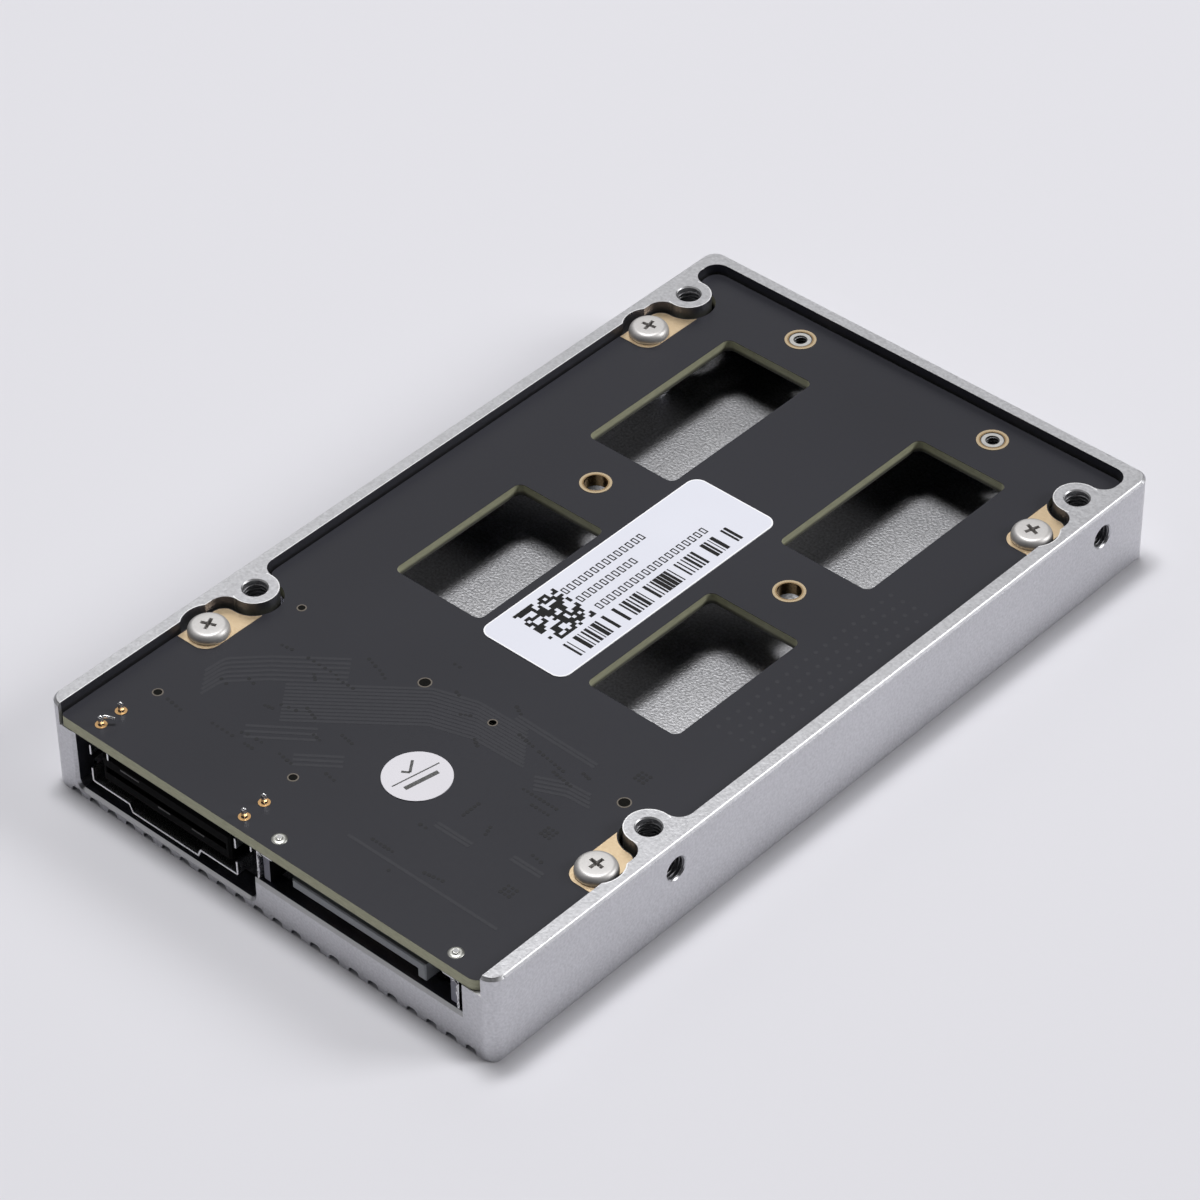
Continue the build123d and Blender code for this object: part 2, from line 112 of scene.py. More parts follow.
# Soldered legs, peg holes and plating on the board
leg_ring_r = 0.72 * mm
leg_hole_r = 0.34 * mm
leg_ball_r = 0.27 * mm
leg_pitch = (23.18 * mm, 3.1 * mm)
leg_setback = 3.5 * mm
clip_leg_pitch = 26.9 * mm
clip_leg_setback = 2.0 * mm
solder_r = 0.93 * mm
solder_h = 0.16 * mm
plating = 0.05 * mm
coat_h = 0.012 * mm
trace_w = 0.42 * mm
trace_h = 0.024 * mm

# Connectors, label and sticker
plug_arm_w = 0.95 * mm
data_pitch = 0.5 * mm
plug_pitch = 1.27 * mm
label_corner = 1.6 * mm
ink = 0.012 * mm
glyph_w = 1.15 * mm
glyph_h = 0.66 * mm
glyph_pitch = 1.02 * mm
stroke = 0.17 * mm


# Node trees

class Value:
    """One value in a node tree. Arithmetic on it adds Math nodes."""

    def __init__(self, graph, socket):
        self.graph = graph
        self.socket = socket

    def math(self, operation, *terms):
        """Math node on a few terms."""
        return self.graph.node("ShaderNodeMath", {"operation": operation}, dict(enumerate(terms)))

    def __add__(self, other):
        return self.math("ADD", self, other)

    def __radd__(self, other):
        return self.math("ADD", other, self)

    def __sub__(self, other):
        return self.math("SUBTRACT", self, other)

    def __rsub__(self, other):
        return self.math("SUBTRACT", other, self)

    def __mul__(self, other):
        return self.math("MULTIPLY", self, other)

    def __rmul__(self, other):
        return self.math("MULTIPLY", other, self)

    def __truediv__(self, other):
        return self.math("DIVIDE", self, other)

    def __gt__(self, limit):
        return self.math("GREATER_THAN", self, limit)

    def __lt__(self, limit):
        return self.math("LESS_THAN", self, limit)

    def __abs__(self):
        return self.math("ABSOLUTE", self)


class Graph:
    """A node tree under construction, for a finish or for a repeating piece."""

    def __init__(self, tree):
        self.tree = tree

    def node(self, kind, settings=None, inputs=None, output=0):
        """Adds a node, sets it up, fills its sockets, and returns one of its outputs."""
        added = self.tree.nodes.new(kind)
        for name, value in (settings or {}).items():
            setattr(added, name, value)
        for key, value in (inputs or {}).items():
            if isinstance(value, Value):
                self.tree.links.new(value.socket, added.inputs[key])
            else:
                added.inputs[key].default_value = value
        return None if output is None else Value(self, added.outputs[output])

    def outputs(self, value, *keys):
        """Other outputs of the node that a value came from."""
        return [Value(self, value.socket.node.outputs[key]) for key in keys]


class Finish(Graph):
    """A material that reads its place on the object in millimetres."""

    def __init__(self, name):
        self.material = bpy.data.materials.new(name)
        self.material.use_nodes = True
        self.material.node_tree.nodes.clear()
        super().__init__(self.material.node_tree)
        place = self.node("ShaderNodeTexCoord", output="Object")
        self.normal, = self.outputs(place, "Normal")
        self.place = self.node("ShaderNodeVectorMath", {"operation": "SCALE"}, {0: place, "Scale": 1 / mm})

    def split(self, vector):
        """The three parts of a vector."""
        x = self.node("ShaderNodeSeparateXYZ", None, {0: vector})
        return [x] + self.outputs(x, 1, 2)

    def grain(self, per_mm, detail=2.0, stretch=(1, 1, 1)):
        """Soft noise from 0 to 1, with so many features in a millimetre."""
        place = self.node("ShaderNodeVectorMath", {"operation": "MULTIPLY"}, {0: self.place, 1: stretch})
        return self.node("ShaderNodeTexNoise", None, {"Vector": place, "Scale": per_mm, "Detail": detail})

    def blend(self, share, low, high):
        """Colour between low and high."""
        return self.node("ShaderNodeMix", {"data_type": "RGBA"}, {0: share, 6: low, 7: high}, 2)

    def band(self, value, low, high):
        """0 below low, 1 above high, and smooth between them."""
        return self.node("ShaderNodeMapRange", {"interpolation_type": "SMOOTHSTEP"},
                         {0: value, 1: low, 2: high, 3: 0.0, 4: 1.0})

    def from_axes(self, centres):
        """Distance in millimetres to the nearest of a few upright axes."""
        x, y = self.split(self.place)[:2]
        nearest = None
        for centre in centres:
            across = x - centre.x / mm
            along = y - centre.y / mm
            square = across * across + along * along
            nearest = square if nearest is None else square.math("MINIMUM", square, nearest)
        return nearest.math("SQRT", nearest)

    def surface(self, relief=None, **sockets):
        """Ends the material. relief is its height in millimetres."""
        values = {name.replace("_", " "): value for name, value in sockets.items()}
        if relief is not None:
            values["Normal"] = self.node("ShaderNodeBump", None,
                                         {"Height": relief, "Strength": 1.0, "Distance": mm})
        shader = self.node("ShaderNodeBsdfPrincipled", None, values)
        self.node("ShaderNodeOutputMaterial", None, {"Surface": shader}, None)
        return self.material

    def metal(self, colour, marks, fine, roughness, metallic=1.0):
        """Ends a metal that has soft marks and a fine tooth."""
        return self.surface(marks * 0.004 + fine * 0.002, Base_Color=colour,
                            Roughness=roughness + (fine - 0.5) * 0.12, Metallic=metallic)

    def film(self, colour, tooth, curl):
        """Ends a satin film or paper that has a faint tooth and a slow curl."""
        return self.surface(tooth * 0.002 + curl * 0.02, Base_Color=colour, Roughness=0.46 + tooth * 0.1)


def grey(level, warmth=0.0):
    """Grey of a level, a little warm or, below 0, a little cool."""
    return (level * (1 + warmth), level, level * (1 - warmth), 1.0)


# Finishes

def inner_shade(f, from_boss):
    """Walls inside the rim and in the two front mouths, where little light falls; less of it on the lobes."""
    skin = 0.45
    corner_cut = 2.4
    wall_foot = 0.3
    mouth_side = 2.0
    mouth_foot = 0.9
    bore_wall = 2.2
    lobe_wall = 3.0
    x, y, z = f.split(f.place)
    facing = f.split(f.normal)
    inside = (abs(x) < side_plane - skin) * (abs(y) < end_plane - skin)
    inside = inside * (abs(x) + abs(y) < side_plane + end_plane - corner_cut)
    inner_wall = inside * (abs(facing[2]) < steep_share) * (z > well_plane + wall_foot)
    mouth = (y < mouth_depth / mm - end_plane) * (abs(x) < side_plane - mouth_side)
    mouth = mouth * (z > mouth_foot) * (z < board_low.z / mm) * (abs(facing[1]) < 0.5)
    shaded = f.band(inner_wall + mouth, 0.0, 1.0)
    return shaded * (1 - (from_boss < bore_wall)) * (0.88 - (from_boss < lobe_wall) * 0.16)


def painted_bore_shade(f, from_boss):
    """Painted shade down the threaded bores in the rim and in the sides, darker further in."""
    bore_r = bay_thread["Radius"] / mm + 0.06
    bore_l = 2.6
    x, y, z = f.split(f.place)
    boss_bore = (from_boss < bore_r) * (1 - f.band(z, rim_plane - 1.3, rim_plane - 0.35))
    along = abs(y - boss_centre.y / mm) - boss_pitch.y / 2 / mm
    up = z - (tray_high.z - side_hole_drop) / mm
    side_bore = (up * up + along * along < bore_r * bore_r) * (abs(x) > side_plane - bore_l)
    return boss_bore + side_bore * (1 - f.band(abs(x), side_plane - 0.9, side_plane - 0.15))


def painted_edge_highlight(f, from_boss):
    """Painted highlight along the inner edges of the left rim, the lobes and the scallops, on the rim's top
    face: a lighter band where the real edges would catch the light.
    """
    edge = edge_w / mm
    lobe = lobe_r / mm
    scallop = scallop_r / mm
    rim_inner = rim_w / mm - side_plane
    blend_reach = 5.4
    far_corner = 4.0
    lobe_foot = 3.2
    x, y, z = f.split(f.place)
    from_screw = f.from_axes(screw_axes)
    rim_edge = (x > rim_inner - edge) * (x < rim_inner + edge_slack)
    rim_edge = rim_edge * (from_boss > blend_reach) * (y < end_plane - far_corner)
    lobe_edge = (from_boss > lobe - edge) * (from_boss < lobe + edge_slack)
    lobe_edge = lobe_edge * (abs(x) < side_plane - lobe_foot)
    scallop_edge = (from_screw > scallop - edge_slack) * (from_screw < scallop + edge)
    return (z > rim_plane - edge_slack) * f.band(rim_edge + lobe_edge + scallop_edge, 0.0, 1.0)


def blasted_aluminium():
    """Clear anodised aluminium: bead-blasted, coarser on the floor, with a painted highlight on the rim's
    inner edges and painted shade on the inner walls, in the front mouths, over part of the rim bevel and down
    the bores.
    """
    f = Finish("bead_blasted_aluminium")
    x, y, z = f.split(f.place)
    upright = abs(f.split(f.normal)[2])
    from_boss = f.from_axes(boss_axes)
    beads = f.grain(3.0)
    fine = f.grain(8.0)
    clouds = f.grain(0.05)

    # Level faces, and the bevels between them and the walls
    above_ribs = 1.0
    floor_skin = 0.2
    level = upright > level_share
    bevel = (upright > steep_share) * (upright < level_share)
    floor = level * (z > above_ribs) * (z < well_plane + floor_skin)

    # The bevel round the rim: its thin upper line, and along the right side painted shade over the rest of
    # the bevel, which leaves only a thin highlight there
    rim_bevel = 0.5
    clear_of_corner = 1.8
    rim = z > rim_plane - rim_bevel
    cut_edge = bevel * (1 - rim)
    rim_line = bevel * f.band(z, rim_plane - 0.15, rim_plane - 0.09)
    # Painted shade on the right rim bevel below its upper line
    painted_bevel_shade = bevel * rim * (1 - rim_line) * (x > side_plane - rim_bevel)
    painted_bevel_shade = painted_bevel_shade * (abs(y) < end_plane - clear_of_corner)

    tone = 0.5 + (beads - 0.5) * (1.3 + floor * 1.6) + (clouds - 0.5) * 0.4
    colour = f.blend(tone, (0.50, 0.50, 0.52, 1), (0.72, 0.72, 0.745, 1))
    coats = [
        # Painted shade on the walls inside the rim and in the front mouths
        (inner_shade(f, from_boss), (0.07, 0.07, 0.095, 1)),
        (cut_edge * 0.8, (0.55, 0.55, 0.57, 1)),
        (rim_line * 0.9, (0.46, 0.46, 0.47, 1)),
        # Painted highlight on the inner edges of the rim's top face
        (level * painted_edge_highlight(f, from_boss) * 0.85, (0.97, 0.97, 0.98, 1)),
        # Painted shade over the lower part of the right rim bevel
        (painted_bevel_shade * 0.9, (0.17, 0.17, 0.18, 1)),
        # Painted shade down the threaded bores
        (painted_bore_shade(f, from_boss) * 0.70, (0.11, 0.11, 0.12, 1)),
    ]
    for share, coat in coats:
        colour = f.blend(share, colour, coat)
    roughness = 0.46 + (beads - 0.5) * 0.14 - cut_edge * 0.12
    relief = (beads * (0.030 + floor * 0.022) + fine * (0.008 + floor * 0.010)) * (1 - 0.85 * bevel)
    return f.surface(relief, Base_Color=colour, Roughness=roughness, Metallic=1.0)


def board_mask():
    """Matte dark solder mask on top and below, woven laminate on the cut edges, and painted shade on the
    lower part of the cut edges round the windows.
    """
    f = Finish("board_mask")
    x, y, z = f.split(f.place)
    flat = abs(f.split(f.normal)[2]) > 0.5
    weave = f.grain(1.6, 1.0, (1, 0.25, 1)) + f.grain(1.6, 1.0, (0.25, 1, 1))
    orange_peel = f.grain(2.2)
    clouds = f.grain(0.045, 1.0)
    mask = f.blend(clouds, (0.0165, 0.0167, 0.0225, 1), (0.0230, 0.0233, 0.0305, 1))
    plies = f.grain(6.0, 2.0, (0.15, 0.15, 1))
    low, high = board_low / mm, board_high / mm
    side_margin = 3.0
    end_margin = 2.0
    laminate = f.blend(plies, (0.34, 0.34, 0.22, 1), (0.58, 0.58, 0.41, 1))
    mask_edge = f.band(abs(z - (high.z + low.z) / 2), 0.70, 0.76)
    laminate = f.blend(mask_edge, laminate, (0.10, 0.10, 0.085, 1))
    # Painted shade on the lower part of the windows' cut edges, where the board's shadow falls
    window = (abs(x) < high.x - side_margin) * (y > low.y + end_margin) * (y < high.y - end_margin)
    foot = 1 - f.band(z, low.z + 0.25, low.z + 0.75)
    laminate = f.blend(window * foot * 0.85, laminate, (0.03, 0.03, 0.03, 1))
    colour = f.blend(flat, laminate, mask)
    roughness = 0.62 - flat * (0.20 - (orange_peel - 0.5) * 0.12)
    relief = weave * 0.0012 + orange_peel * 0.0015 + (1 - flat) * plies * 0.01
    return f.surface(relief, Base_Color=colour, Roughness=roughness, Specular_IOR_Level=0.345)


def covered_copper():
    """Copper under the mask: the same mask, a touch lighter."""
    f = Finish("covered_copper")
    ripple = f.grain(2.2)
    colour = f.blend(ripple, (0.0210, 0.0213, 0.027, 1), (0.029, 0.0295, 0.037, 1))
    return f.surface(ripple * 0.002, Base_Color=colour, Roughness=0.42 + ripple * 0.10,
                     Specular_IOR_Level=0.40)


def tented_via():
    """Plated hole closed with mask: a small dark dimple."""
    f = Finish("tented_via")
    ripple = f.grain(5.0)
    colour = f.blend(ripple, (0.004, 0.004, 0.006, 1), (0.011, 0.011, 0.014, 1))
    return f.surface(ripple * 0.004, Base_Color=colour, Roughness=0.5 + ripple * 0.1, Specular_IOR_Level=0.4)


def gold_plating():
    """Flat gold over nickel, with a soft grain and faint rub marks."""
    f = Finish("gold_plating")
    grains = f.grain(4.0, 3.0)
    rubs = f.grain(2.0, 2.0, (0.2, 3.0, 1))
    colour = f.blend(grains * 0.6 + rubs * 0.4, (0.85, 0.62, 0.35, 1), (1.0, 0.82, 0.59, 1))
    return f.surface(grains * 0.004 + rubs * 0.002, Base_Color=colour, Roughness=0.30 + grains * 0.16,
                     Metallic=1.0)


def bright_metal(name, low, high, roughness):
    """Plated or tinned metal with fine marks, between two colours."""
    f = Finish(name)
    marks = f.grain(3.0, 3.0, (1, 1, 0.3))
    return f.metal(f.blend(marks, low, high), marks, f.grain(11.0), roughness)


def screw_metal():
    """Nickel plated steel, with painted shade in the cross recess."""
    f = Finish("screw_steel")
    drop = screw_top / mm - f.split(f.place)[2]
    marks = f.grain(3.0, 3.0, (1, 1, 0.3))
    # Painted shade in the cross recess, deeper down
    recess = (f.from_axes(screw_axes) < cross_l / mm / 2 + 0.1) * f.band(drop, 0.10, 0.45)
    colour = f.blend(marks, (0.60, 0.585, 0.575, 1), (0.72, 0.70, 0.69, 1))
    colour = f.blend(recess * 0.55, colour, (0.18, 0.165, 0.155, 1))
    return f.metal(colour, marks, f.grain(11.0), 0.50, 0.7)


def standoff_metal():
    """Nickel plated standoff: a bright lip, with painted shade down the bore within it and on a shoulder ring
    outside it.
    """
    f = Finish("standoff_steel")
    marks = f.grain(3.0, 3.0)
    from_axis = f.from_axes(standoff_axes)
    # Painted shade down the bore and in the gap round the lip
    bore = 1 - f.band(from_axis, 0.86, 0.92)
    shoulder = f.band(from_axis, 1.32, 1.40)
    colour = f.blend(marks, (0.66, 0.65, 0.63, 1), (0.84, 0.83, 0.81, 1))
    colour = f.blend((bore + shoulder) * 0.85, colour, (0.05, 0.045, 0.04, 1))
    return f.surface(marks * 0.004, Base_Color=colour, Roughness=0.34 + marks * 0.12, Metallic=1.0)


def ring_gold():
    """Gold plating of the large holes, with painted shade on the inner side of the ring and down the barrel.
    """
    f = Finish("barrel_gold")
    marks = f.grain(3.0, 3.0, (1, 1, 0.3))
    # Painted shade: the barrel and the ring's inner side are darker gold, the outer lip plain gold
    lip = f.band(f.from_axes(ring_axes), 1.64, 1.73)
    colour = f.blend(marks, (0.40, 0.27, 0.14, 1), (0.62, 0.44, 0.25, 1))
    colour = f.blend(lip, colour, (0.82, 0.65, 0.43, 1))
    return f.metal(colour, marks, f.grain(11.0), 0.26)


def moulding(name, level, roughness, warmth=0.0, gloss=0.5):
    """Moulded plastic with a fine spark-eroded texture."""
    f = Finish(name)
    erosion = f.grain(7.0, 3.0)
    flow = f.grain(0.4, 2.0, (0.3, 1, 1))
    colour = f.blend(erosion * 0.5 + flow * 0.5, grey(level * 0.7, warmth), grey(level * 1.3, warmth))
    roughness = roughness + (erosion - 0.5) * 0.15
    return f.surface(erosion * 0.006, Base_Color=colour, Roughness=roughness, Specular_IOR_Level=gloss)


def sticker_paper():
    """Bluish white satin paper."""
    f = Finish("sticker_paper")
    tooth = f.grain(6.0, 3.0)
    curl = f.grain(0.12, 1.0)
    colour = f.blend(tooth * 0.4 + curl * 0.6, (0.66, 0.645, 0.69, 1), (0.74, 0.725, 0.77, 1))
    return f.film(colour, tooth, curl)


def label_film():
    """White film with a painted highlight along its cut edge, which follows the label's round corners."""
    f = Finish("label_film")
    x, y = f.split(f.place)[:2]
    tooth = f.grain(6.0, 3.0)
    curl = f.grain(0.12, 1.0)
    corner = label_corner / mm
    middle = (label_low + label_high) / 2 / mm
    straight = (label_high - label_low) / 2 / mm - Vector((corner, corner, 0))
    across = abs(x - middle.x) - straight.x
    across = across.math("MAXIMUM", across, 0.0)
    along = abs(y - middle.y) - straight.y
    along = along.math("MAXIMUM", along, 0.0)
    square = across * across + along * along
    from_edge = corner - square.math("SQRT", square)
    colour = f.blend(tooth * 0.4 + curl * 0.6, (0.70, 0.71, 0.79, 1), (0.76, 0.77, 0.85, 1))
    # Painted highlight along the label's edge
    colour = f.blend(1 - f.band(from_edge, 0.10, 0.22), colour, (0.97, 0.97, 1.0, 1))
    return f.film(colour, tooth, curl)


def printed_ink(name, level):
    """Thermal print: slightly uneven black."""
    f = Finish(name)
    dots = f.grain(8.0)
    colour = f.blend(f.band(dots, 0.35, 0.7), grey(level), grey(level * 2.6))
    return f.surface(dots * 0.001, Base_Color=colour, Roughness=0.6 + dots * 0.1, Specular_IOR_Level=0.25)


def plug_moulding():
    """The power plug's moulding, one plastic in two colours for light and shade: grey end arms, and between
    them a block painted black as shade.
    """
    f = Finish("plug_moulding")
    erosion = f.grain(7.0, 3.0)
    from_middle = abs(f.split(f.place)[0] - plug_x / mm)
    arm = from_middle > (plug_high.x - plug_x) / mm - plug_arm_w / mm
    # Painted shade: the block is black, and only the end arms keep the moulding's grey
    colour = f.blend(erosion, grey(0.003), grey(0.006))
    colour = f.blend(arm, colour, (0.24, 0.24, 0.28, 1))
    return f.surface(erosion * 0.006, Base_Color=colour, Roughness=0.5 + (erosion - 0.5) * 0.15,
                     Specular_IOR_Level=0.2)


def pressed_powder():
    """Grey moulded choke with a sandy skin."""
    f = Finish("choke_core")
    sand = f.grain(6.0, 4.0)
    colour = f.blend(sand, (0.045, 0.045, 0.047, 1), (0.12, 0.12, 0.12, 1))
    return f.surface(sand * 0.012, Base_Color=colour, Roughness=0.75 + (sand - 0.5) * 0.2)


def hole_shade():
    """Painted shade: a dark disc that stands for the inside of a blind peg hole."""
    f = Finish("peg_hole_shade")
    depth = f.grain(4.0)
    colour = f.blend(depth, (0.003, 0.003, 0.003, 1), (0.012, 0.012, 0.010, 1))
    return f.surface(depth * 0.01, Base_Color=colour, Roughness=0.9, Specular_IOR_Level=0.1)


def studio_floor():
    """Pale matt paper under the card."""
    f = Finish("studio_floor")
    paper_tone = f.grain(0.004, 1.0)
    colour = f.blend(paper_tone, (0.700, 0.695, 0.735, 1), (0.715, 0.710, 0.750, 1))
    return f.surface(None, Base_Color=colour, Roughness=0.9, Specular_IOR_Level=0.1)


finishes = {
    "bead_blasted_aluminium": blasted_aluminium(),
    "board_mask": board_mask(),
    "gold_plating": gold_plating(),
    "screw_steel": screw_metal(),
    "standoff_steel": standoff_metal(),
    "shell_steel": bright_metal("shell_steel", (0.62, 0.62, 0.63, 1), (0.82, 0.82, 0.83, 1), 0.28),
    "solder": bright_metal("solder", (0.50, 0.50, 0.47, 1), (0.78, 0.78, 0.74, 1), 0.38),
    "black_moulding": moulding("black_moulding", 0.003, 0.68, 0.0, 0.05),
    "grey_moulding": moulding("grey_moulding", 0.25, 0.48, -0.05),
    "label_film": label_film(),
    "sticker_paper": sticker_paper(),
    "choke_core": pressed_powder(),
    "chip_case": moulding("chip_case", 0.02, 0.6),
}
covered_copper_finish = covered_copper()
tented_via_finish = tented_via()
label_ink = printed_ink("label_ink", 0.005)
sticker_ink = printed_ink("sticker_ink", 0.06)
peg_hole_finish = hole_shade()
laminate_finish = moulding("bare_laminate", 0.11, 0.6, 0.18)
own_finishes = {"power_plug_body": plug_moulding(), **dict.fromkeys(ring_names, ring_gold())}
leg_ring_gold = bright_metal("leg_ring_gold", (0.60, 0.34, 0.14, 1), (0.90, 0.58, 0.28, 1), 0.32)
flux_finish = printed_ink("leg_flux", 0.02)
# Ribs in lighter grey than the black nose: painted glints along them
rib_glint_finish = moulding("nose_rib", 0.11, 0.5)
# Painted shade: the threads are coloured much darker than the metal round them, for the shade inside the
# holes
shaded_thread_metal = bright_metal("cut_thread", (0.17, 0.17, 0.18, 1), (0.30, 0.30, 0.31, 1), 0.46)


# Meshes

def in_scene(name, data):
    """New object in the scene."""
    made = bpy.data.objects.new(name, data)
    bpy.context.scene.collection.objects.link(made)
    return made


def settle(name, mesh, slot, finish=None, replaces=None):
    """Turns a finished mesh into a piece of the card."""
    piece = in_scene(name, mesh)
    mesh.materials.clear()
    mesh.materials.append(finish or finishes[slot])
    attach(piece, "root")
    if replaces:
        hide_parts(replaces)


def mesh_of(build):
    """Mesh from a function that fills a bmesh."""
    weld = 0.0001 * mm
    bm = bmesh.new()
    build(bm)
    bmesh.ops.remove_doubles(bm, verts=bm.verts, dist=weld)
    bmesh.ops.recalc_face_normals(bm, faces=bm.faces)
    mesh = bpy.data.meshes.new("plan")
    bm.to_mesh(mesh)
    bm.free()
    return mesh


def closed_skin(bm, loops):
    """Faces all round between each loop of corners and the next, and one face across each end."""
    count = len(loops[0])
    for low, high in zip(loops, loops[1:]):
        for k in range(count):
            after = (k + 1) % count
            bm.faces.new([low[k], low[after], high[after], high[k]])
    bm.faces.new(loops[0])
    bm.faces.new(loops[-1])


def lathe(bm, profile, centre=(0, 0, 0), steps=28):
    """Turns a profile of (radius, height) points about an upright axis. A closed profile makes a ring."""
    rings = []
    for k in range(steps):
        turn = 2 * math.pi * k / steps
        rings.append([bm.verts.new(Vector(centre) + Vector((r * math.cos(turn), r * math.sin(turn), h)))
                      for r, h in profile])
    for k in range(steps):
        here, there = rings[k], rings[(k + 1) % steps]
        for i in range(len(profile) - 1):
            face = [here[i], there[i], there[i + 1], here[i + 1]]
            if profile[i][0] == 0:
                face = [here[i], there[i + 1], here[i + 1]]
            elif profile[i + 1][0] == 0:
                face = [here[i], there[i], here[i + 1]]
            bm.faces.new(face)


def slab(bm, low, high, bevel=0.0):
    """Box between two corners, with an even bevel."""
    low, high = Vector(low), Vector(high)
    made = bmesh.ops.create_cube(bm, size=1, matrix=Matrix.LocRotScale((low + high) / 2, None, high - low))
    if bevel:
        edges = list({edge for vert in made["verts"] for edge in vert.link_edges})
        bmesh.ops.bevel(bm, geom=edges, offset=bevel, segments=1, affect="EDGES")


def tube(bm, points, radius, steps=10):
    """Round wire along a few points, closed at both ends."""
    rings = []
    for i, point in enumerate(points):
        ahead = points[min(i + 1, len(points) - 1)] - points[max(i - 1, 0)]
        turn = ahead.to_track_quat("Z", "Y")
        rings.append([bm.verts.new(point + turn @ (radius * Vector((math.cos(a), math.sin(a), 0))))
                      for a in (2 * math.pi * k / steps for k in range(steps))])
    closed_skin(bm, rings)


def smooth(mesh, angle=60):
    """Smooth shading apart from edges sharper than the angle."""
    mesh.shade_smooth()
    mesh.set_sharp_from_angle(angle=math.radians(angle))
    return mesh


# Geometry node trees

class Plan(Graph):
    """A Geometry Nodes tree with named inputs, ending in real geometry with its finish."""

    kinds = {"geometry": "NodeSocketGeometry", "length": "NodeSocketFloat", "count": "NodeSocketInt",
             "vector": "NodeSocketVector", "finish": "NodeSocketMaterial"}

    def __init__(self, name, **inputs):
        super().__init__(bpy.data.node_groups.new(name, "GeometryNodeTree"))
        sockets = self.tree.interface
        for label, kind in {"Geometry": "geometry", **inputs, "Finish": "finish"}.items():
            sockets.new_socket(label.replace("_", " "), in_out="INPUT", socket_type=self.kinds[kind])
        sockets.new_socket("Geometry", in_out="OUTPUT", socket_type="NodeSocketGeometry")
        self.start = self.tree.nodes.new("NodeGroupInput")

    def input(self, label):
        """One of the tree's own inputs."""
        return Value(self, self.start.outputs[label])

    def copies(self, points, shape, **sockets):
        """The shape at each of the points."""
        return self.node("GeometryNodeInstanceOnPoints", None,
                         {"Points": points, "Instance": shape, **sockets})

    def end(self, geometry):
        """Ends the tree in real geometry with its finish."""
        real = self.node("GeometryNodeRealizeInstances", None, {0: geometry})
        finished = self.node("GeometryNodeSetMaterial", None,
                             {"Geometry": real, "Material": self.input("Finish")})
        self.node("NodeGroupOutput", None, {0: finished}, None)
        return self.tree


def rows_plan():
    """Repeats a shape in columns and rows about its own place."""
    p = Plan("rows", Columns="count", Rows="count", Pitch_X="length", Pitch_Y="length")
    across = (p.input("Columns") - 1) * p.input("Pitch X")
    along = (p.input("Rows") - 1) * p.input("Pitch Y")
    grid = p.node("GeometryNodeMeshGrid", None,
                  {"Size X": across, "Size Y": along,
                   "Vertices X": p.input("Columns"), "Vertices Y": p.input("Rows")})
    return p.end(p.copies(grid, p.input("Geometry")))


def thread_plan():
    """Helical ridge inside a tapped hole, at each vertex of the plan mesh, running down from it."""
    p = Plan("thread", Radius="length", Pitch="length", Turns="length", Ridge="length", Turn="vector")
    helix = p.node("GeometryNodeCurveSpiral", None,
                   {"Resolution": 20, "Rotations": p.input("Turns"), "Start Radius": p.input("Radius"),
                    "End Radius": p.input("Radius"), "Height": p.input("Turns") * p.input("Pitch")})
    ridge = p.node("GeometryNodeCurvePrimitiveCircle", None, {"Resolution": 4, "Radius": p.input("Ridge")})
    coil = p.node("GeometryNodeCurveToMesh", None,
                  {"Curve": helix, "Profile Curve": ridge, "Fill Caps": True})
    drop = p.node("ShaderNodeCombineXYZ", None, {2: 0 - p.input("Turns") * p.input("Pitch")})
    coil = p.node("GeometryNodeTransform", None, {"Geometry": coil, "Translation": drop})
    return p.end(p.copies(p.input("Geometry"), coil, Rotation=p.input("Turn")))


def bundle_plan():
    """Flat strips side by side: the plan mesh is the line of the first one."""
    p = Plan("trace_bundle", Count="count", Step="vector", Width="length", Height="length", Bend="length")
    line = p.node("GeometryNodeMeshToCurve", None, {0: p.input("Geometry")})
    starts = p.node("GeometryNodeMeshLine", None, {"Count": p.input("Count"), "Offset": p.input("Step")})
    lines = p.node("GeometryNodeRealizeInstances", None, {0: p.copies(starts, line)})
    lines = p.node("GeometryNodeFilletCurve", {"mode": "POLY"},
                   {"Curve": lines, "Count": 6, "Radius": p.input("Bend")})
    section = p.node("GeometryNodeCurvePrimitiveQuadrilateral", {"mode": "TRAPEZOID"},
                     {"Height": p.input("Height"), "Bottom Width": p.input("Width"),
                      "Top Width": p.input("Width") * 0.8, "Offset": 0.0})
    return p.end(p.node("GeometryNodeCurveToMesh", None,
                        {"Curve": lines, "Profile Curve": section, "Fill Caps": True}))


def spots_plan():
    """Low round spots at the vertices of the plan mesh, a little uneven in size."""
    p = Plan("spots", Radius="length", Height="length")
    spot = p.node("GeometryNodeMeshCylinder", None,
                  {"Vertices": 10, "Radius": p.input("Radius"), "Depth": p.input("Height")})
    size = p.node("FunctionNodeRandomValue", {"data_type": "FLOAT"}, {2: 0.8, 3: 1.15, "Seed": 4}, 1)
    return p.end(p.copies(p.input("Geometry"), spot, Scale=size))


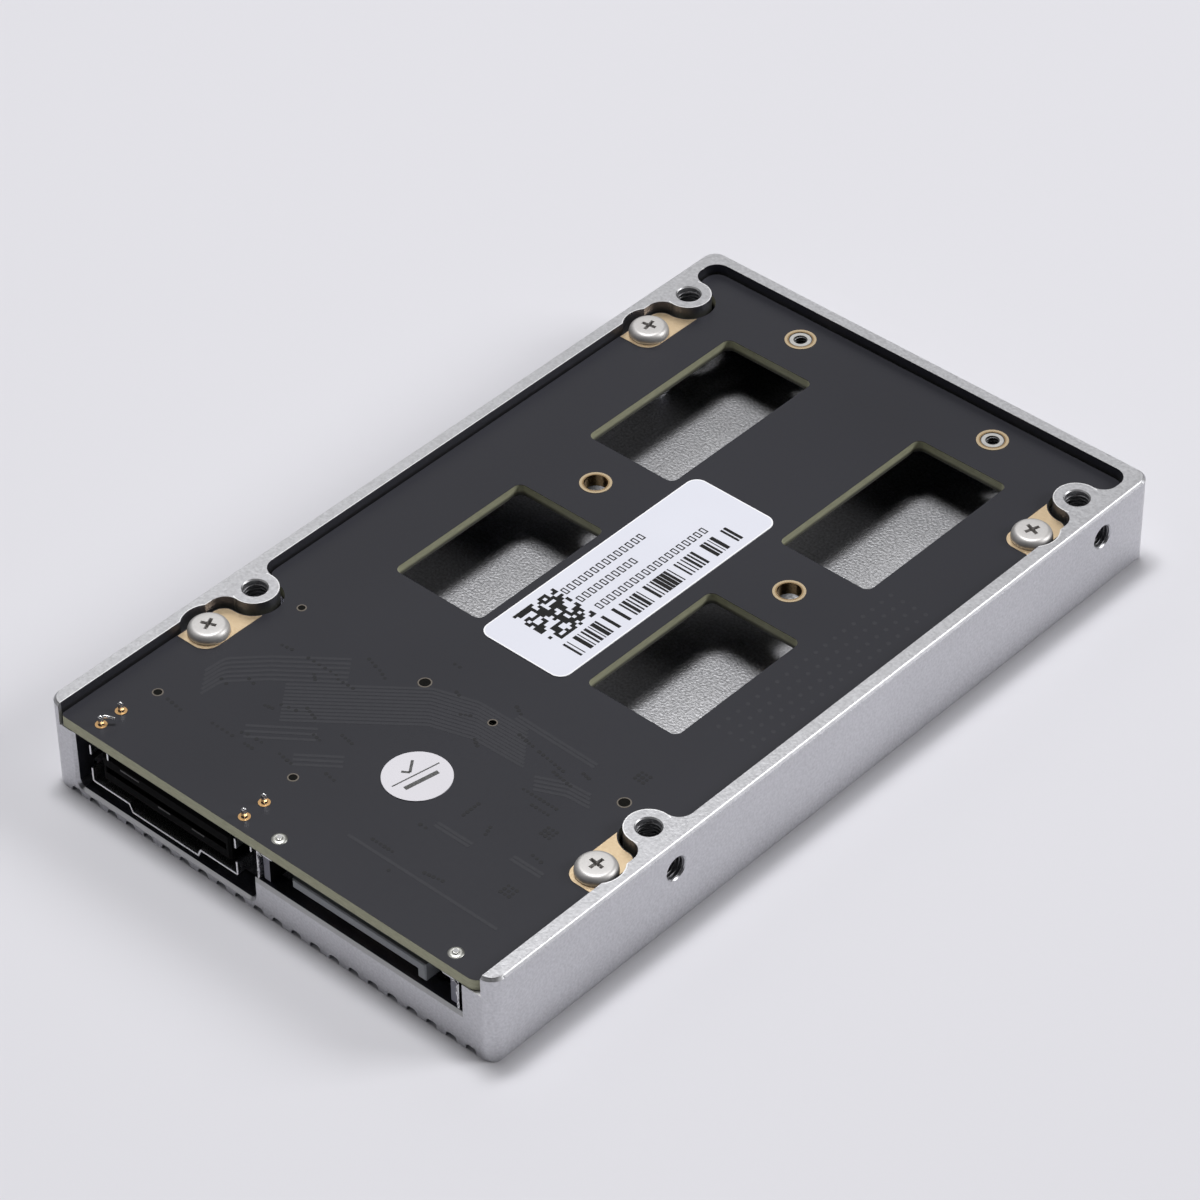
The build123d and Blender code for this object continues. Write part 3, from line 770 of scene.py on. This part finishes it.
def printed_bars_plan():
    """Bars of uneven width in one row, some of them left out, all at random."""
    p = Plan("printed_bars", Count="count", Pitch="length", Bar_length="length", Thickness="length")
    step = p.node("ShaderNodeCombineXYZ", None, {1: p.input("Pitch")})
    points = p.node("GeometryNodeMeshLine", None, {"Count": p.input("Count"), "Offset": step})
    size = p.node("ShaderNodeCombineXYZ", None,
                  {0: p.input("Bar length"), 1: p.input("Pitch"), 2: p.input("Thickness")})
    bar = p.node("GeometryNodeMeshCube", None, {"Size": size})
    width = p.node("FunctionNodeRandomValue", {"data_type": "FLOAT"}, {2: 0.2, 3: 1.05, "Seed": 7}, 1)
    scale = p.node("ShaderNodeCombineXYZ", None, {0: 1.0, 1: width, 2: 1.0})
    kept = p.node("FunctionNodeRandomValue", {"data_type": "BOOLEAN"}, {"Probability": 0.78, "Seed": 3}, 3)
    return p.end(p.copies(points, bar, Selection=kept, Scale=scale))


def printed_square_plan():
    """Square field of small dots, about half of them left out at random."""
    p = Plan("printed_square", Columns="count", Size="length", Thickness="length")
    grid = p.node("GeometryNodeMeshGrid", None,
                  {"Size X": p.input("Size"), "Size Y": p.input("Size"),
                   "Vertices X": p.input("Columns"), "Vertices Y": p.input("Columns")})
    dot_w = p.input("Size") / (p.input("Columns") - 1)
    size = p.node("ShaderNodeCombineXYZ", None, {0: dot_w, 1: dot_w, 2: p.input("Thickness")})
    dot = p.node("GeometryNodeMeshCube", None, {"Size": size})
    kept = p.node("FunctionNodeRandomValue", {"data_type": "BOOLEAN"}, {"Probability": 0.52, "Seed": 11}, 3)
    return p.end(p.copies(grid, dot, Selection=kept))


plans = {"rows": rows_plan(), "thread": thread_plan(), "bundle": bundle_plan(), "spots": spots_plan(),
         "bars": printed_bars_plan(), "square": printed_square_plan()}


def grown(name, plan, mesh, slot, place=(0, 0, 0), finish=None, **sizes):
    """Runs a plan on a mesh and keeps the result as a plain mesh piece at its place."""
    holder = in_scene(name + "_plan", mesh)
    modifier = holder.modifiers.new(name, "NODES")
    modifier.node_group = plans[plan]
    values = {label.replace("_", " "): value for label, value in sizes.items()}
    values["Finish"] = finish or finishes[slot]
    for item in plans[plan].interface.items_tree:
        if item.in_out == "INPUT" and item.name in values:
            modifier[item.identifier] = values[item.name]
    ready = holder.evaluated_get(bpy.context.evaluated_depsgraph_get())
    result = bpy.data.meshes.new_from_object(ready)
    if plan == "bundle":
        # A strip swept along a curve comes out smooth, and its long edges are sharp
        result.shade_flat()
    holder.modifiers.remove(modifier)
    bpy.data.objects.remove(holder)
    result.transform(Matrix.Translation(place))
    settle(name, result, slot, finish)


def vertices(points):
    """Mesh of loose vertices."""
    mesh = bpy.data.meshes.new("spots")
    mesh.from_pydata([Vector(p) for p in points], [], [])
    return mesh


def line(points):
    """Mesh of one open line."""
    mesh = bpy.data.meshes.new("line")
    mesh.from_pydata([Vector(p) for p in points], [(i, i + 1) for i in range(len(points) - 1)], [])
    return mesh


# Screws and threads

def pan_head_screw(name, node):
    """Domed head with a tapered cross recess, and its shank down into the tray."""
    low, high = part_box(node)
    centre = Vector(((low.x + high.x) / 2, (low.y + high.y) / 2, high.z - head_h))
    turn = math.radians((centre.x + centre.y) / mm)
    shank_end = low.z - centre.z
    foot_r = head_r - 0.06 * mm
    crown_ring_r = crown_r * 0.6
    cutter_top = head_h + 0.1 * mm
    dome = [(crown_r + (head_r - crown_r) * math.sin(a), brim_h + (head_h - brim_h) * math.cos(a))
            for a in (math.radians(d) for d in range(0, 91, 10))]
    profile = [(0, head_h), (crown_ring_r, head_h)] + dome
    profile += [(foot_r, 0), (shank_r, 0), (shank_r, shank_end), (0, shank_end)]
    head = in_scene(name, mesh_of(lambda bm: lathe(bm, profile, steps=48)))

    def cross(bm):
        for long_way in (0, 1):
            top = Vector((cross_l, cross_w, 0) if long_way else (cross_w, cross_l, 0)) / 2
            foot = top * cross_taper
            closed_skin(bm, [[bm.verts.new((sx * half.x, sy * half.y, z))
                              for sx, sy in ((-1, -1), (1, -1), (1, 1), (-1, 1))]
                             for half, z in ((foot, head_h - cross_depth), (top, cutter_top))])

    cutter = in_scene("cross", mesh_of(cross))
    cut = head.modifiers.new("cross", "BOOLEAN")
    cut.operation = "DIFFERENCE"
    cut.solver = "EXACT"
    cut.object = cutter
    cut.use_self = True
    ready = head.evaluated_get(bpy.context.evaluated_depsgraph_get())
    mesh = smooth(bpy.data.meshes.new_from_object(ready), 40)
    mesh.transform(Matrix.Translation(centre) @ Matrix.Rotation(turn, 4, "Z"))
    bpy.data.objects.remove(head)
    bpy.data.objects.remove(cutter)
    settle(name, mesh, "screw_steel", replaces=node)


def bay_threads():
    """Threads of the four holes in the rim and of the two in each side."""
    countersink = 0.65 * mm
    lead_in = 0.2 * mm
    tops = [Vector((p.x, p.y, tray_high.z - countersink)) for p in boss_axes]
    grown("boss_threads", "thread", vertices(tops), "bead_blasted_aluminium",
          finish=shaded_thread_metal, Turns=8.0, Turn=(0, 0, 0), **bay_thread)
    for side, word in ((-1, "left"), (1, "right")):
        mouths = [Vector((side * (tray_high.x - lead_in), p.y, tray_high.z - side_hole_drop))
                  for p in boss_axes if p.x * side > 0]
        grown(f"side_threads_{word}", "thread", vertices(mouths), "bead_blasted_aluminium",
              finish=shaded_thread_metal, Turns=4.2, Turn=(0, side * math.pi / 2, 0), **bay_thread)


def standoff_threads():
    """Threads of the two standoffs."""
    lead_in = 0.15 * mm
    mouths = []
    for node in ("standoff_left", "standoff_right"):
        low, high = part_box(node)
        mouths.append(Vector(((low.x + high.x) / 2, (low.y + high.y) / 2, high.z - lead_in)))
    grown("standoff_threads", "thread", vertices(mouths), "standoff_steel",
          finish=shaded_thread_metal, Turns=9.0, Turn=(0, 0, 0), **module_thread)


# Board

def on_board(x, y):
    """Point on the board's top, from its place in millimetres."""
    return Vector((x * mm, y * mm, board_top))


def traces():
    """Copper under the mask: slanting bundles between the connectors and the sockets, and straight runs.

    Each entry holds the number of strips, for a bundle also its pitch, and the line of the first strip.
    """
    slant = Vector((0.62, -0.78, 0)) * mm
    bundles = {
        "main": (11, 0.62, [(-17.2, -37.0), (-4.0, -26.4), (1.6, -24.6), (9.0, -24.4)]),
        "left": (6, 0.80, [(-25.8, -41.5), (-25.6, -38.4), (-21.8, -34.6), (-14.6, -28.9)]),
        "lower": (3, 0.95, [(-15.6, -45.0), (-9.0, -40.0)]),
        "middle": (3, 0.80, [(-8.0, -44.9), (-3.4, -41.4)]),
        "sockets": (4, 0.70, [(14.8, -29.6), (18.4, -27.9), (21.6, -27.7)]),
    }
    down = Vector((0, -0.55, 0)) * mm
    bend_r = 2.0 * mm
    straight = {
        "front": (1, [(5.8, -50.2), (28.4, -50.2)]),
        "right": (2, [(21.9, -40.6), (26.4, -40.6)]),
        "supply": (2, [(11.9, -42.2), (17.2, -42.2)]),
        "far": (2, [(6.5, -23.3), (18.8, -23.5)]),
    }
    runs = [(word, count, slant * pitch, bend_r, points)
            for word, (count, pitch, points) in bundles.items()]
    runs += [(word, count, down, 0.0, points) for word, (count, points) in straight.items()]
    for word, count, step, bend, points in runs:
        grown(f"traces_{word}", "bundle", line([on_board(*p) for p in points]), "board_mask",
              finish=covered_copper_finish, Count=count, Step=step,
              Width=trace_w, Height=trace_h, Bend=bend)


def vias():
    """Short rows of tented vias, and three groups of nine.

    A row is its first place, its number of vias and the step between them.
    """
    group_pitch = 0.62
    rows = [
        (-13.1, -27.5, 3, 0.7, -0.2), (-10.8, -28.1, 3, 0.7, -0.3), (-22.4, -32.4, 3, 0.7, 0.1),
        (-18.5, -32.0, 6, 0.9, 0.0), (-13.3, -32.4, 4, 0.8, 0.0), (-16.0, -33.6, 3, 0.4, -0.3),
        (-12.4, -38.3, 4, 0.6, -0.2), (-21.0, -39.1, 2, 0.9, -0.2), (-15.1, -39.8, 3, 1.0, 0.2),
        (-16.4, -41.1, 3, 0.5, 0.1), (-23.4, -41.2, 2, 1.0, -0.2), (-6.2, -38.9, 4, 0.6, -0.1),
        (-8.7, -41.0, 3, 0.6, -0.1), (-3.0, -44.7, 3, 0.7, -0.1), (-18.7, -47.2, 5, 0.8, 0.0),
        (-15.1, -46.1, 2, 0.8, 0.2), (-13.0, -45.8, 2, 0.8, 0.0), (-9.3, -45.8, 4, 0.7, -0.1),
        (-13.5, -47.2, 3, 0.6, 0.0), (-25.5, -47.7, 4, 0.8, -0.1), (8.8, -25.6, 5, 0.6, -0.1),
        (12.4, -26.2, 7, 0.7, -0.1), (15.9, -27.6, 6, 0.6, -0.1), (18.6, -25.6, 3, 0.5, -0.1),
        (15.3, -31.9, 9, 0.62, 0.0), (17.8, -33.2, 5, 0.6, 0.0), (5.5, -29.5, 3, 0.5, -0.3),
        (-1.6, -25.0, 2, 0.6, -0.2), (1.4, -27.5, 3, 0.5, 0.3), (5.3, -22.3, 3, 0.6, -0.3),
        (-5.1, -21.6, 2, 0.8, 0.0), (13.2, -37.0, 5, 0.0, -0.6), (16.8, -38.9, 3, 0.2, -0.6),
        (23.4, -39.1, 3, 0.7, -0.1), (8.4, -48.9, 6, 0.6, 0.0), (16.4, -49.0, 5, 0.6, 0.1),
        (10.7, -43.7, 2, 0.8, 0.0), (13.2, -51.3, 1, 0.0, 0.0),
    ]
    spots = [on_board(x + i * dx, y + i * dy) for x, y, count, dx, dy in rows for i in range(count)]
    for x, y in ((24.0, -21.7), (25.3, -45.0), (22.3, -35.3)):
        spots += [on_board(x + group_pitch * i, y + group_pitch * j)
                  for i in (-1, 0, 1) for j in (-1, 0, 1)]
    grown("tented_vias", "spots", vertices(spots), "board_mask", finish=tented_via_finish,
          Radius=0.25 * mm, Height=0.03 * mm)


def stitching():
    """Faint grid of filled vias between the windows and the right edge."""
    spot = [(0, coat_h), (0.28 * mm, coat_h), (0.3 * mm, 0.0), (0, 0.0)]
    mid_right = ring_axes[ring_names.index("plated_ring_mid_right")]
    centre = on_board(27.3, mid_right.y / mm - 8.0)
    grown("stitching_vias", "rows", mesh_of(lambda bm: lathe(bm, spot, steps=10)), "board_mask", centre,
          finish=covered_copper_finish, Columns=4, Rows=19, Pitch_X=1.75 * mm, Pitch_Y=1.7 * mm)


def data_legs():
    """Gold rings, dark flux and round tips on the four legs of the data connector.

    A profile is a line of radii and heights.
    """
    ring = [(leg_hole_r, 0.0), (leg_ring_r, 0.0), (leg_ring_r, plating),
            (leg_hole_r + 0.05 * mm, plating * 1.6), (leg_hole_r, 0.0)]
    flux_r = 0.2 * mm
    flux = [(flux_r, 0.0), (leg_hole_r, 0.0), (leg_hole_r, 0.02 * mm), (flux_r, 0.05 * mm), (flux_r, 0.0)]
    pitch = {"Columns": 2, "Rows": 2, "Pitch_X": leg_pitch[0], "Pitch_Y": leg_pitch[1]}
    centre = Vector((data_x, tray_low.y + leg_setback, board_top))
    grown("leg_rings", "rows", mesh_of(lambda bm: lathe(bm, ring)), "gold_plating", centre,
          finish=leg_ring_gold, **pitch)
    grown("leg_flux", "rows", mesh_of(lambda bm: lathe(bm, flux, steps=20)), "gold_plating", centre,
          finish=flux_finish, **pitch)
    ball = [(leg_ball_r * math.sin(a), -leg_ball_r * math.cos(a))
            for a in (math.pi * k / 8 for k in range(9))]
    ball[0] = (0, -leg_ball_r)
    ball[-1] = (0, leg_ball_r)
    sunk = 0.04 * mm
    tips = Vector((data_x, centre.y, shell_high.z - sunk))
    grown("leg_tips", "rows", smooth(mesh_of(lambda bm: lathe(bm, ball, steps=16))), "shell_steel", tips,
          **pitch)


def clip_solder():
    """Solder on the two legs of the plug's clips, from a closed line of radii and heights."""
    hollow_r = 0.24 * mm
    mound = [(hollow_r, 0.02 * mm), (0.36 * mm, solder_h * 0.9), (0.58 * mm, solder_h),
             (0.78 * mm, solder_h * 0.7), (solder_r, 0.0), (hollow_r, 0.0), (hollow_r, 0.02 * mm)]
    grown("clip_solder", "rows", smooth(mesh_of(lambda bm: lathe(bm, mound))), "solder",
          Vector((plug_x, tray_low.y + clip_leg_setback, board_top)),
          Columns=2, Rows=1, Pitch_X=clip_leg_pitch, Pitch_Y=0.0)


def bent_leg_tip():
    """The tip of the left front leg is bent over towards the next leg."""
    wire_r = 0.2 * mm
    foot = Vector((data_x - leg_pitch[0] / 2, tray_low.y + leg_setback - leg_pitch[1] / 2,
                   shell_high.z - wire_r))
    bends = [(0, 0, 0), (0.05, 0.06, 0.16), (0.35, 0.42, 0.22), (0.8, 0.85, 0.02), (1.15, 1.1, -0.12)]
    path = [foot + Vector(bend) * mm for bend in bends]
    settle("bent_leg_tip", smooth(mesh_of(lambda bm: tube(bm, path, wire_r))), "shell_steel")


def peg_holes():
    """Blind-looking holes of the connector and socket pegs, each a dark disc of painted shade with a bare
    laminate ring.

    A hole is its place and its radius.
    """
    places = [(-27.2, -47.65, 0.52), (-5.35, -47.6, 0.52), (-25.4, -26.2, 0.45), (5.1, -26.1, 0.45),
              (-5.45, -26.2, 0.70), (25.2, -26.1, 0.70)]
    rim_h = 0.02 * mm
    foot_w = 0.17 * mm
    lip_w = 0.15 * mm

    def rims(bm):
        for x, y, r in places:
            r *= mm
            lathe(bm, [(r, 0.0), (r + foot_w, 0.0), (r + lip_w, rim_h), (r, rim_h), (r, 0.0)],
                  on_board(x, y), 24)

    # Flat dark discs on the board, painted shade for the holes
    def wells(bm):
        for x, y, r in places:
            r *= mm
            lathe(bm, [(0, coat_h), (r, coat_h), (r, 0.0), (0, 0.0)], on_board(x, y), 24)

    settle("peg_hole_rims", mesh_of(rims), "board_mask", laminate_finish)
    settle("peg_holes", mesh_of(wells), "board_mask", peg_hole_finish)


# Label and sticker

def label_print():
    """Generic print: a field of dots, a row of bars and three lines of empty boxes.

    A line of boxes is its two distances from the label's near left corner and its number of boxes.
    """
    corner = Vector((label_low.x, label_low.y, label_high.z))
    bars_place = corner + Vector((10.5, 4.2, 0)) * mm
    dots_place = corner + Vector((4.8, 7.9, 0)) * mm
    grown("label_bars", "bars", vertices([(0, 0, 0)]), "label_film", bars_place, label_ink,
          Count=50, Pitch=0.6 * mm, Bar_length=2.9 * mm, Thickness=ink)
    grown("label_dots", "square", vertices([(0, 0, 0)]), "label_film", dots_place, label_ink,
          Columns=15, Size=6.5 * mm, Thickness=ink)

    def glyph(bm):
        for low, high in (((-glyph_w, -glyph_h), (glyph_w, -glyph_h + 2 * stroke)),
                          ((-glyph_w, glyph_h - 2 * stroke), (glyph_w, glyph_h)),
                          ((-glyph_w, -glyph_h + 2 * stroke), (-glyph_w + 2 * stroke, glyph_h - 2 * stroke)),
                          ((glyph_w - 2 * stroke, -glyph_h + 2 * stroke), (glyph_w, glyph_h - 2 * stroke))):
            slab(bm, (low[0] / 2, low[1] / 2, -ink / 2), (high[0] / 2, high[1] / 2, ink / 2))

    lines = {"upper": (2.75, 18.6, 14), "middle": (5.05, 16.7, 10), "lower": (7.55, 21.8, 19)}
    for word, (across, middle, count) in lines.items():
        grown(f"label_boxes_{word}", "rows", mesh_of(glyph), "label_film",
              corner + Vector((across, middle, 0)) * mm, label_ink,
              Columns=1, Rows=count, Pitch_X=0.0, Pitch_Y=glyph_pitch)


def sticker_print():
    """Generic mark that reads nearly towards the far end: a tick over a rule and a bar.

    A stroke is its two ends and its width.
    """
    centre = (sticker_low + sticker_high) / 2
    centre.z = sticker_high.z
    turn = Matrix.Rotation(math.radians(79), 3, "Z")
    strokes = [((-1.0, 1.7), (-0.3, 1.0), 0.34), ((-0.3, 1.0), (1.1, 2.5), 0.34),
               ((-3.25, 0.3), (3.25, 0.3), 0.18), ((-2.3, -0.85), (2.3, -0.85), 0.6)]

    def marks(bm):
        for start, end, width in strokes:
            start = turn @ Vector(start + (0,))
            end = turn @ Vector(end + (0,))
            along = (end - start).normalized()
            out = Vector((-along.y, along.x, 0)) * width / 2
            outline = [start - out, end - out, end + out, start + out]
            closed_skin(bm, [[bm.verts.new(centre + corner * mm + Vector((0, 0, up))) for corner in outline]
                             for up in (0.0, ink)])

    settle("sticker_mark", mesh_of(marks), "sticker_paper", sticker_ink)


# Connectors

def contact(length, width, thickness, bend):
    """One spring contact running to +Y, its tip bent up or, below 0, down."""
    def build(bm):
        rows = [(0.0, bend), (0.12 * length, 0.25 * bend), (0.25 * length, 0.0), (length, 0.0)]
        section = ((-1, 0), (1, 0), (1, thickness), (-1, thickness))
        closed_skin(bm, [[bm.verts.new((sx * width / 2, y, z + up)) for sx, up in section] for y, z in rows])
    return mesh_of(build)


def data_contacts():
    """Two rows of contacts in the card slot, moulded ribs on the nose, coloured lighter than it as painted
    glints, and two springs in the mouth.

    A rib is its middle and its width, and a spring is its place across and its two heights.
    """
    slot_drop = 2.8 * mm
    setback = 0.6 * mm
    depth = 0.2 * mm
    rib_t = 0.2 * mm
    spring_t = 0.24 * mm
    middle = core_high.z - slot_drop
    mouth = core_low.y
    for word, up, bend in (("upper", 0.30, -0.06), ("lower", -0.36, 0.06)):
        grown(f"data_contacts_{word}", "rows", contact(3.6 * mm, 0.24 * mm, 0.06 * mm, bend * mm),
              "gold_plating", (data_x, mouth + setback, middle + up * mm),
              Columns=37, Rows=1, Pitch_X=data_pitch, Pitch_Y=0.0)

    def ribs(bm):
        for x, z, width in ((-16.7, 5.75, 2.0), (-11.2, 5.75, 2.0), (-22.15, 7.7, 3.1)):
            slab(bm, (x * mm - width / 2 * mm, mouth - 0.06 * mm, z * mm - rib_t / 2),
                 (x * mm + width / 2 * mm, mouth + depth, z * mm + rib_t / 2), 0.04 * mm)

    def springs(bm):
        for x, low, high in ((-25.67, 8.0, 9.1), (-2.5, 8.3, 9.5)):
            slab(bm, (x * mm - spring_t / 2, mouth - 0.08 * mm, low * mm),
                 (x * mm + spring_t / 2, mouth + depth, high * mm), 0.03 * mm)

    # The ribs' lighter grey paints the glints on the nose
    settle("nose_ribs", mesh_of(ribs), "black_moulding", rib_glint_finish)
    settle("mouth_springs", mesh_of(springs), "shell_steel")


def plug_contacts():
    """Fourteen contacts on the underside of the blade."""
    blade_t = 1.27 * mm
    under = blade_high.z - blade_t - 0.05 * mm
    grown("plug_contacts", "rows", contact(3.2 * mm, 0.8 * mm, 0.09 * mm, 0.04 * mm), "gold_plating",
          (plug_x - 0.6 * mm, blade_low.y + 0.5 * mm, under),
          Columns=14, Rows=1, Pitch_X=plug_pitch, Pitch_Y=0.0)


def clip_springs():
    """Waved front edges of the plug's two clips, each with a hook at its top towards the middle.

    A point of the wave is its distance inwards in millimetres and its share of the height.
    """
    wave = [(0.80, 0.95), (0.40, 1.0), (0.05, 0.93), (0.20, 0.76), (0.28, 0.60), (0.06, 0.43), (-0.02, 0.30),
            (0.12, 0.14), (0.10, 0.0)]
    wire_r = 0.1 * mm
    stand_out = 0.02 * mm
    foot = plug_low.z + 0.15 * mm
    rise = board_low.z - 0.25 * mm - foot
    for word, side in (("left", 1), ("right", -1)):
        low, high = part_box(f"power_plug_clip_{word}")
        outer = (low.x if side > 0 else high.x) + side * wire_r
        path = [Vector((outer + side * inward * mm, low.y - stand_out, foot + up * rise))
                for inward, up in wave]
        settle(f"clip_spring_{word}", smooth(mesh_of(lambda bm: tube(bm, path, wire_r, 8))), "shell_steel")


def socket_contacts():
    """Two rows of contacts in each module socket."""
    middle = (socket_high.z + socket_low.z) / 2
    for word, side in (("left", -1), ("right", 1)):
        for row, up in (("upper", 0.46), ("lower", -0.52)):
            mesh = contact(2.4 * mm, 0.28 * mm, 0.06 * mm, 0.0)
            mesh.transform(Matrix.Rotation(math.pi, 4, "Z"))
            grown(f"socket_contacts_{row}_{word}", "rows", mesh, "gold_plating",
                  (side * module_x, socket_high.y - 1.5 * mm, middle - 0.3 * mm + up * mm),
                  Columns=34, Rows=1, Pitch_X=data_pitch, Pitch_Y=0.0)


# Studio

def lay_floor():
    """Pale floor under the card."""
    reach = 4.0
    floor = in_scene("floor", mesh_of(lambda bm: bmesh.ops.create_grid(
        bm, x_segments=1, y_segments=1, size=reach, matrix=Matrix.Translation((0, 0, tray_low.z)))))
    floor.data.materials.append(studio_floor())


def hang_lights():
    """Soft lights overhead and around the card, and a faint world.

    A light is its place and its two sides in metres, and its power in watts. All point at the card.
    """
    lights = {
        "overhead": ((-0.146, 0.077, 1.0), 0.27, 0.12, 3.75),
        "softbox": ((-0.292, 0.154, 2.0), 0.9, 0.6, 16.2),
        "back_left": ((-1.4, 1.3, 1.3), 1.4, 1.4, 3.9),
        "left": ((-1.9, 0, 1.1), 1.6, 1.6, 2.1),
        "front_left": ((-0.83, -1.03, 0.90), 1.0, 1.0, 1.6),
        "right_back": ((1.30, 1.12, 1.04), 0.7, 0.7, 19.0),
    }
    for word, (place, size, size_y, power) in lights.items():
        light = bpy.data.lights.new(f"{word}_light", "AREA")
        light.shape = "RECTANGLE"
        light.size = size
        light.size_y = size_y
        light.energy = power
        lamp = in_scene(f"{word}_light", light)
        lamp.location = place
        lamp.rotation_euler = (-Vector(place)).to_track_quat("-Z", "Y").to_euler()

    world = bpy.data.worlds.new("studio")
    bpy.context.scene.world = world
    world.use_nodes = True
    background = world.node_tree.nodes["Background"]
    background.inputs["Color"].default_value = (0.97, 0.97, 1.0, 1)
    background.inputs["Strength"].default_value = 0.01


def set_camera():
    """Camera of the photograph."""
    lens = bpy.data.cameras.new("photo_camera")
    lens.lens = 140.904
    lens.sensor_width = 36.0
    lens.clip_start = 0.05
    camera = in_scene("photo_camera", lens)
    camera.location = Vector((284.393, -309.140, 365.576)) * mm
    camera.rotation_euler = Euler([math.radians(a) for a in (49.74333, 0.68838, 42.24993)])
    bpy.context.scene.camera = camera
    bpy.context.scene.view_settings.view_transform = "Standard"


# The card: a finish on each solid, then the pieces that dress it

for entry in frame["record"]["subparts"]:
    node = frame["nodes"][entry["node"]]
    node.data.materials.clear()
    node.data.materials.append(own_finishes.get(entry["node"], finishes[entry["material_slot"]]))

for place in corners:
    pan_head_screw(f"pan_head_screw_{place}", f"board_screw_{place}")
bay_threads()
standoff_threads()
traces()
vias()
stitching()
data_legs()
clip_solder()
bent_leg_tip()
peg_holes()
label_print()
sticker_print()
data_contacts()
plug_contacts()
clip_springs()
socket_contacts()
lay_floor()
hang_lights()
set_camera()
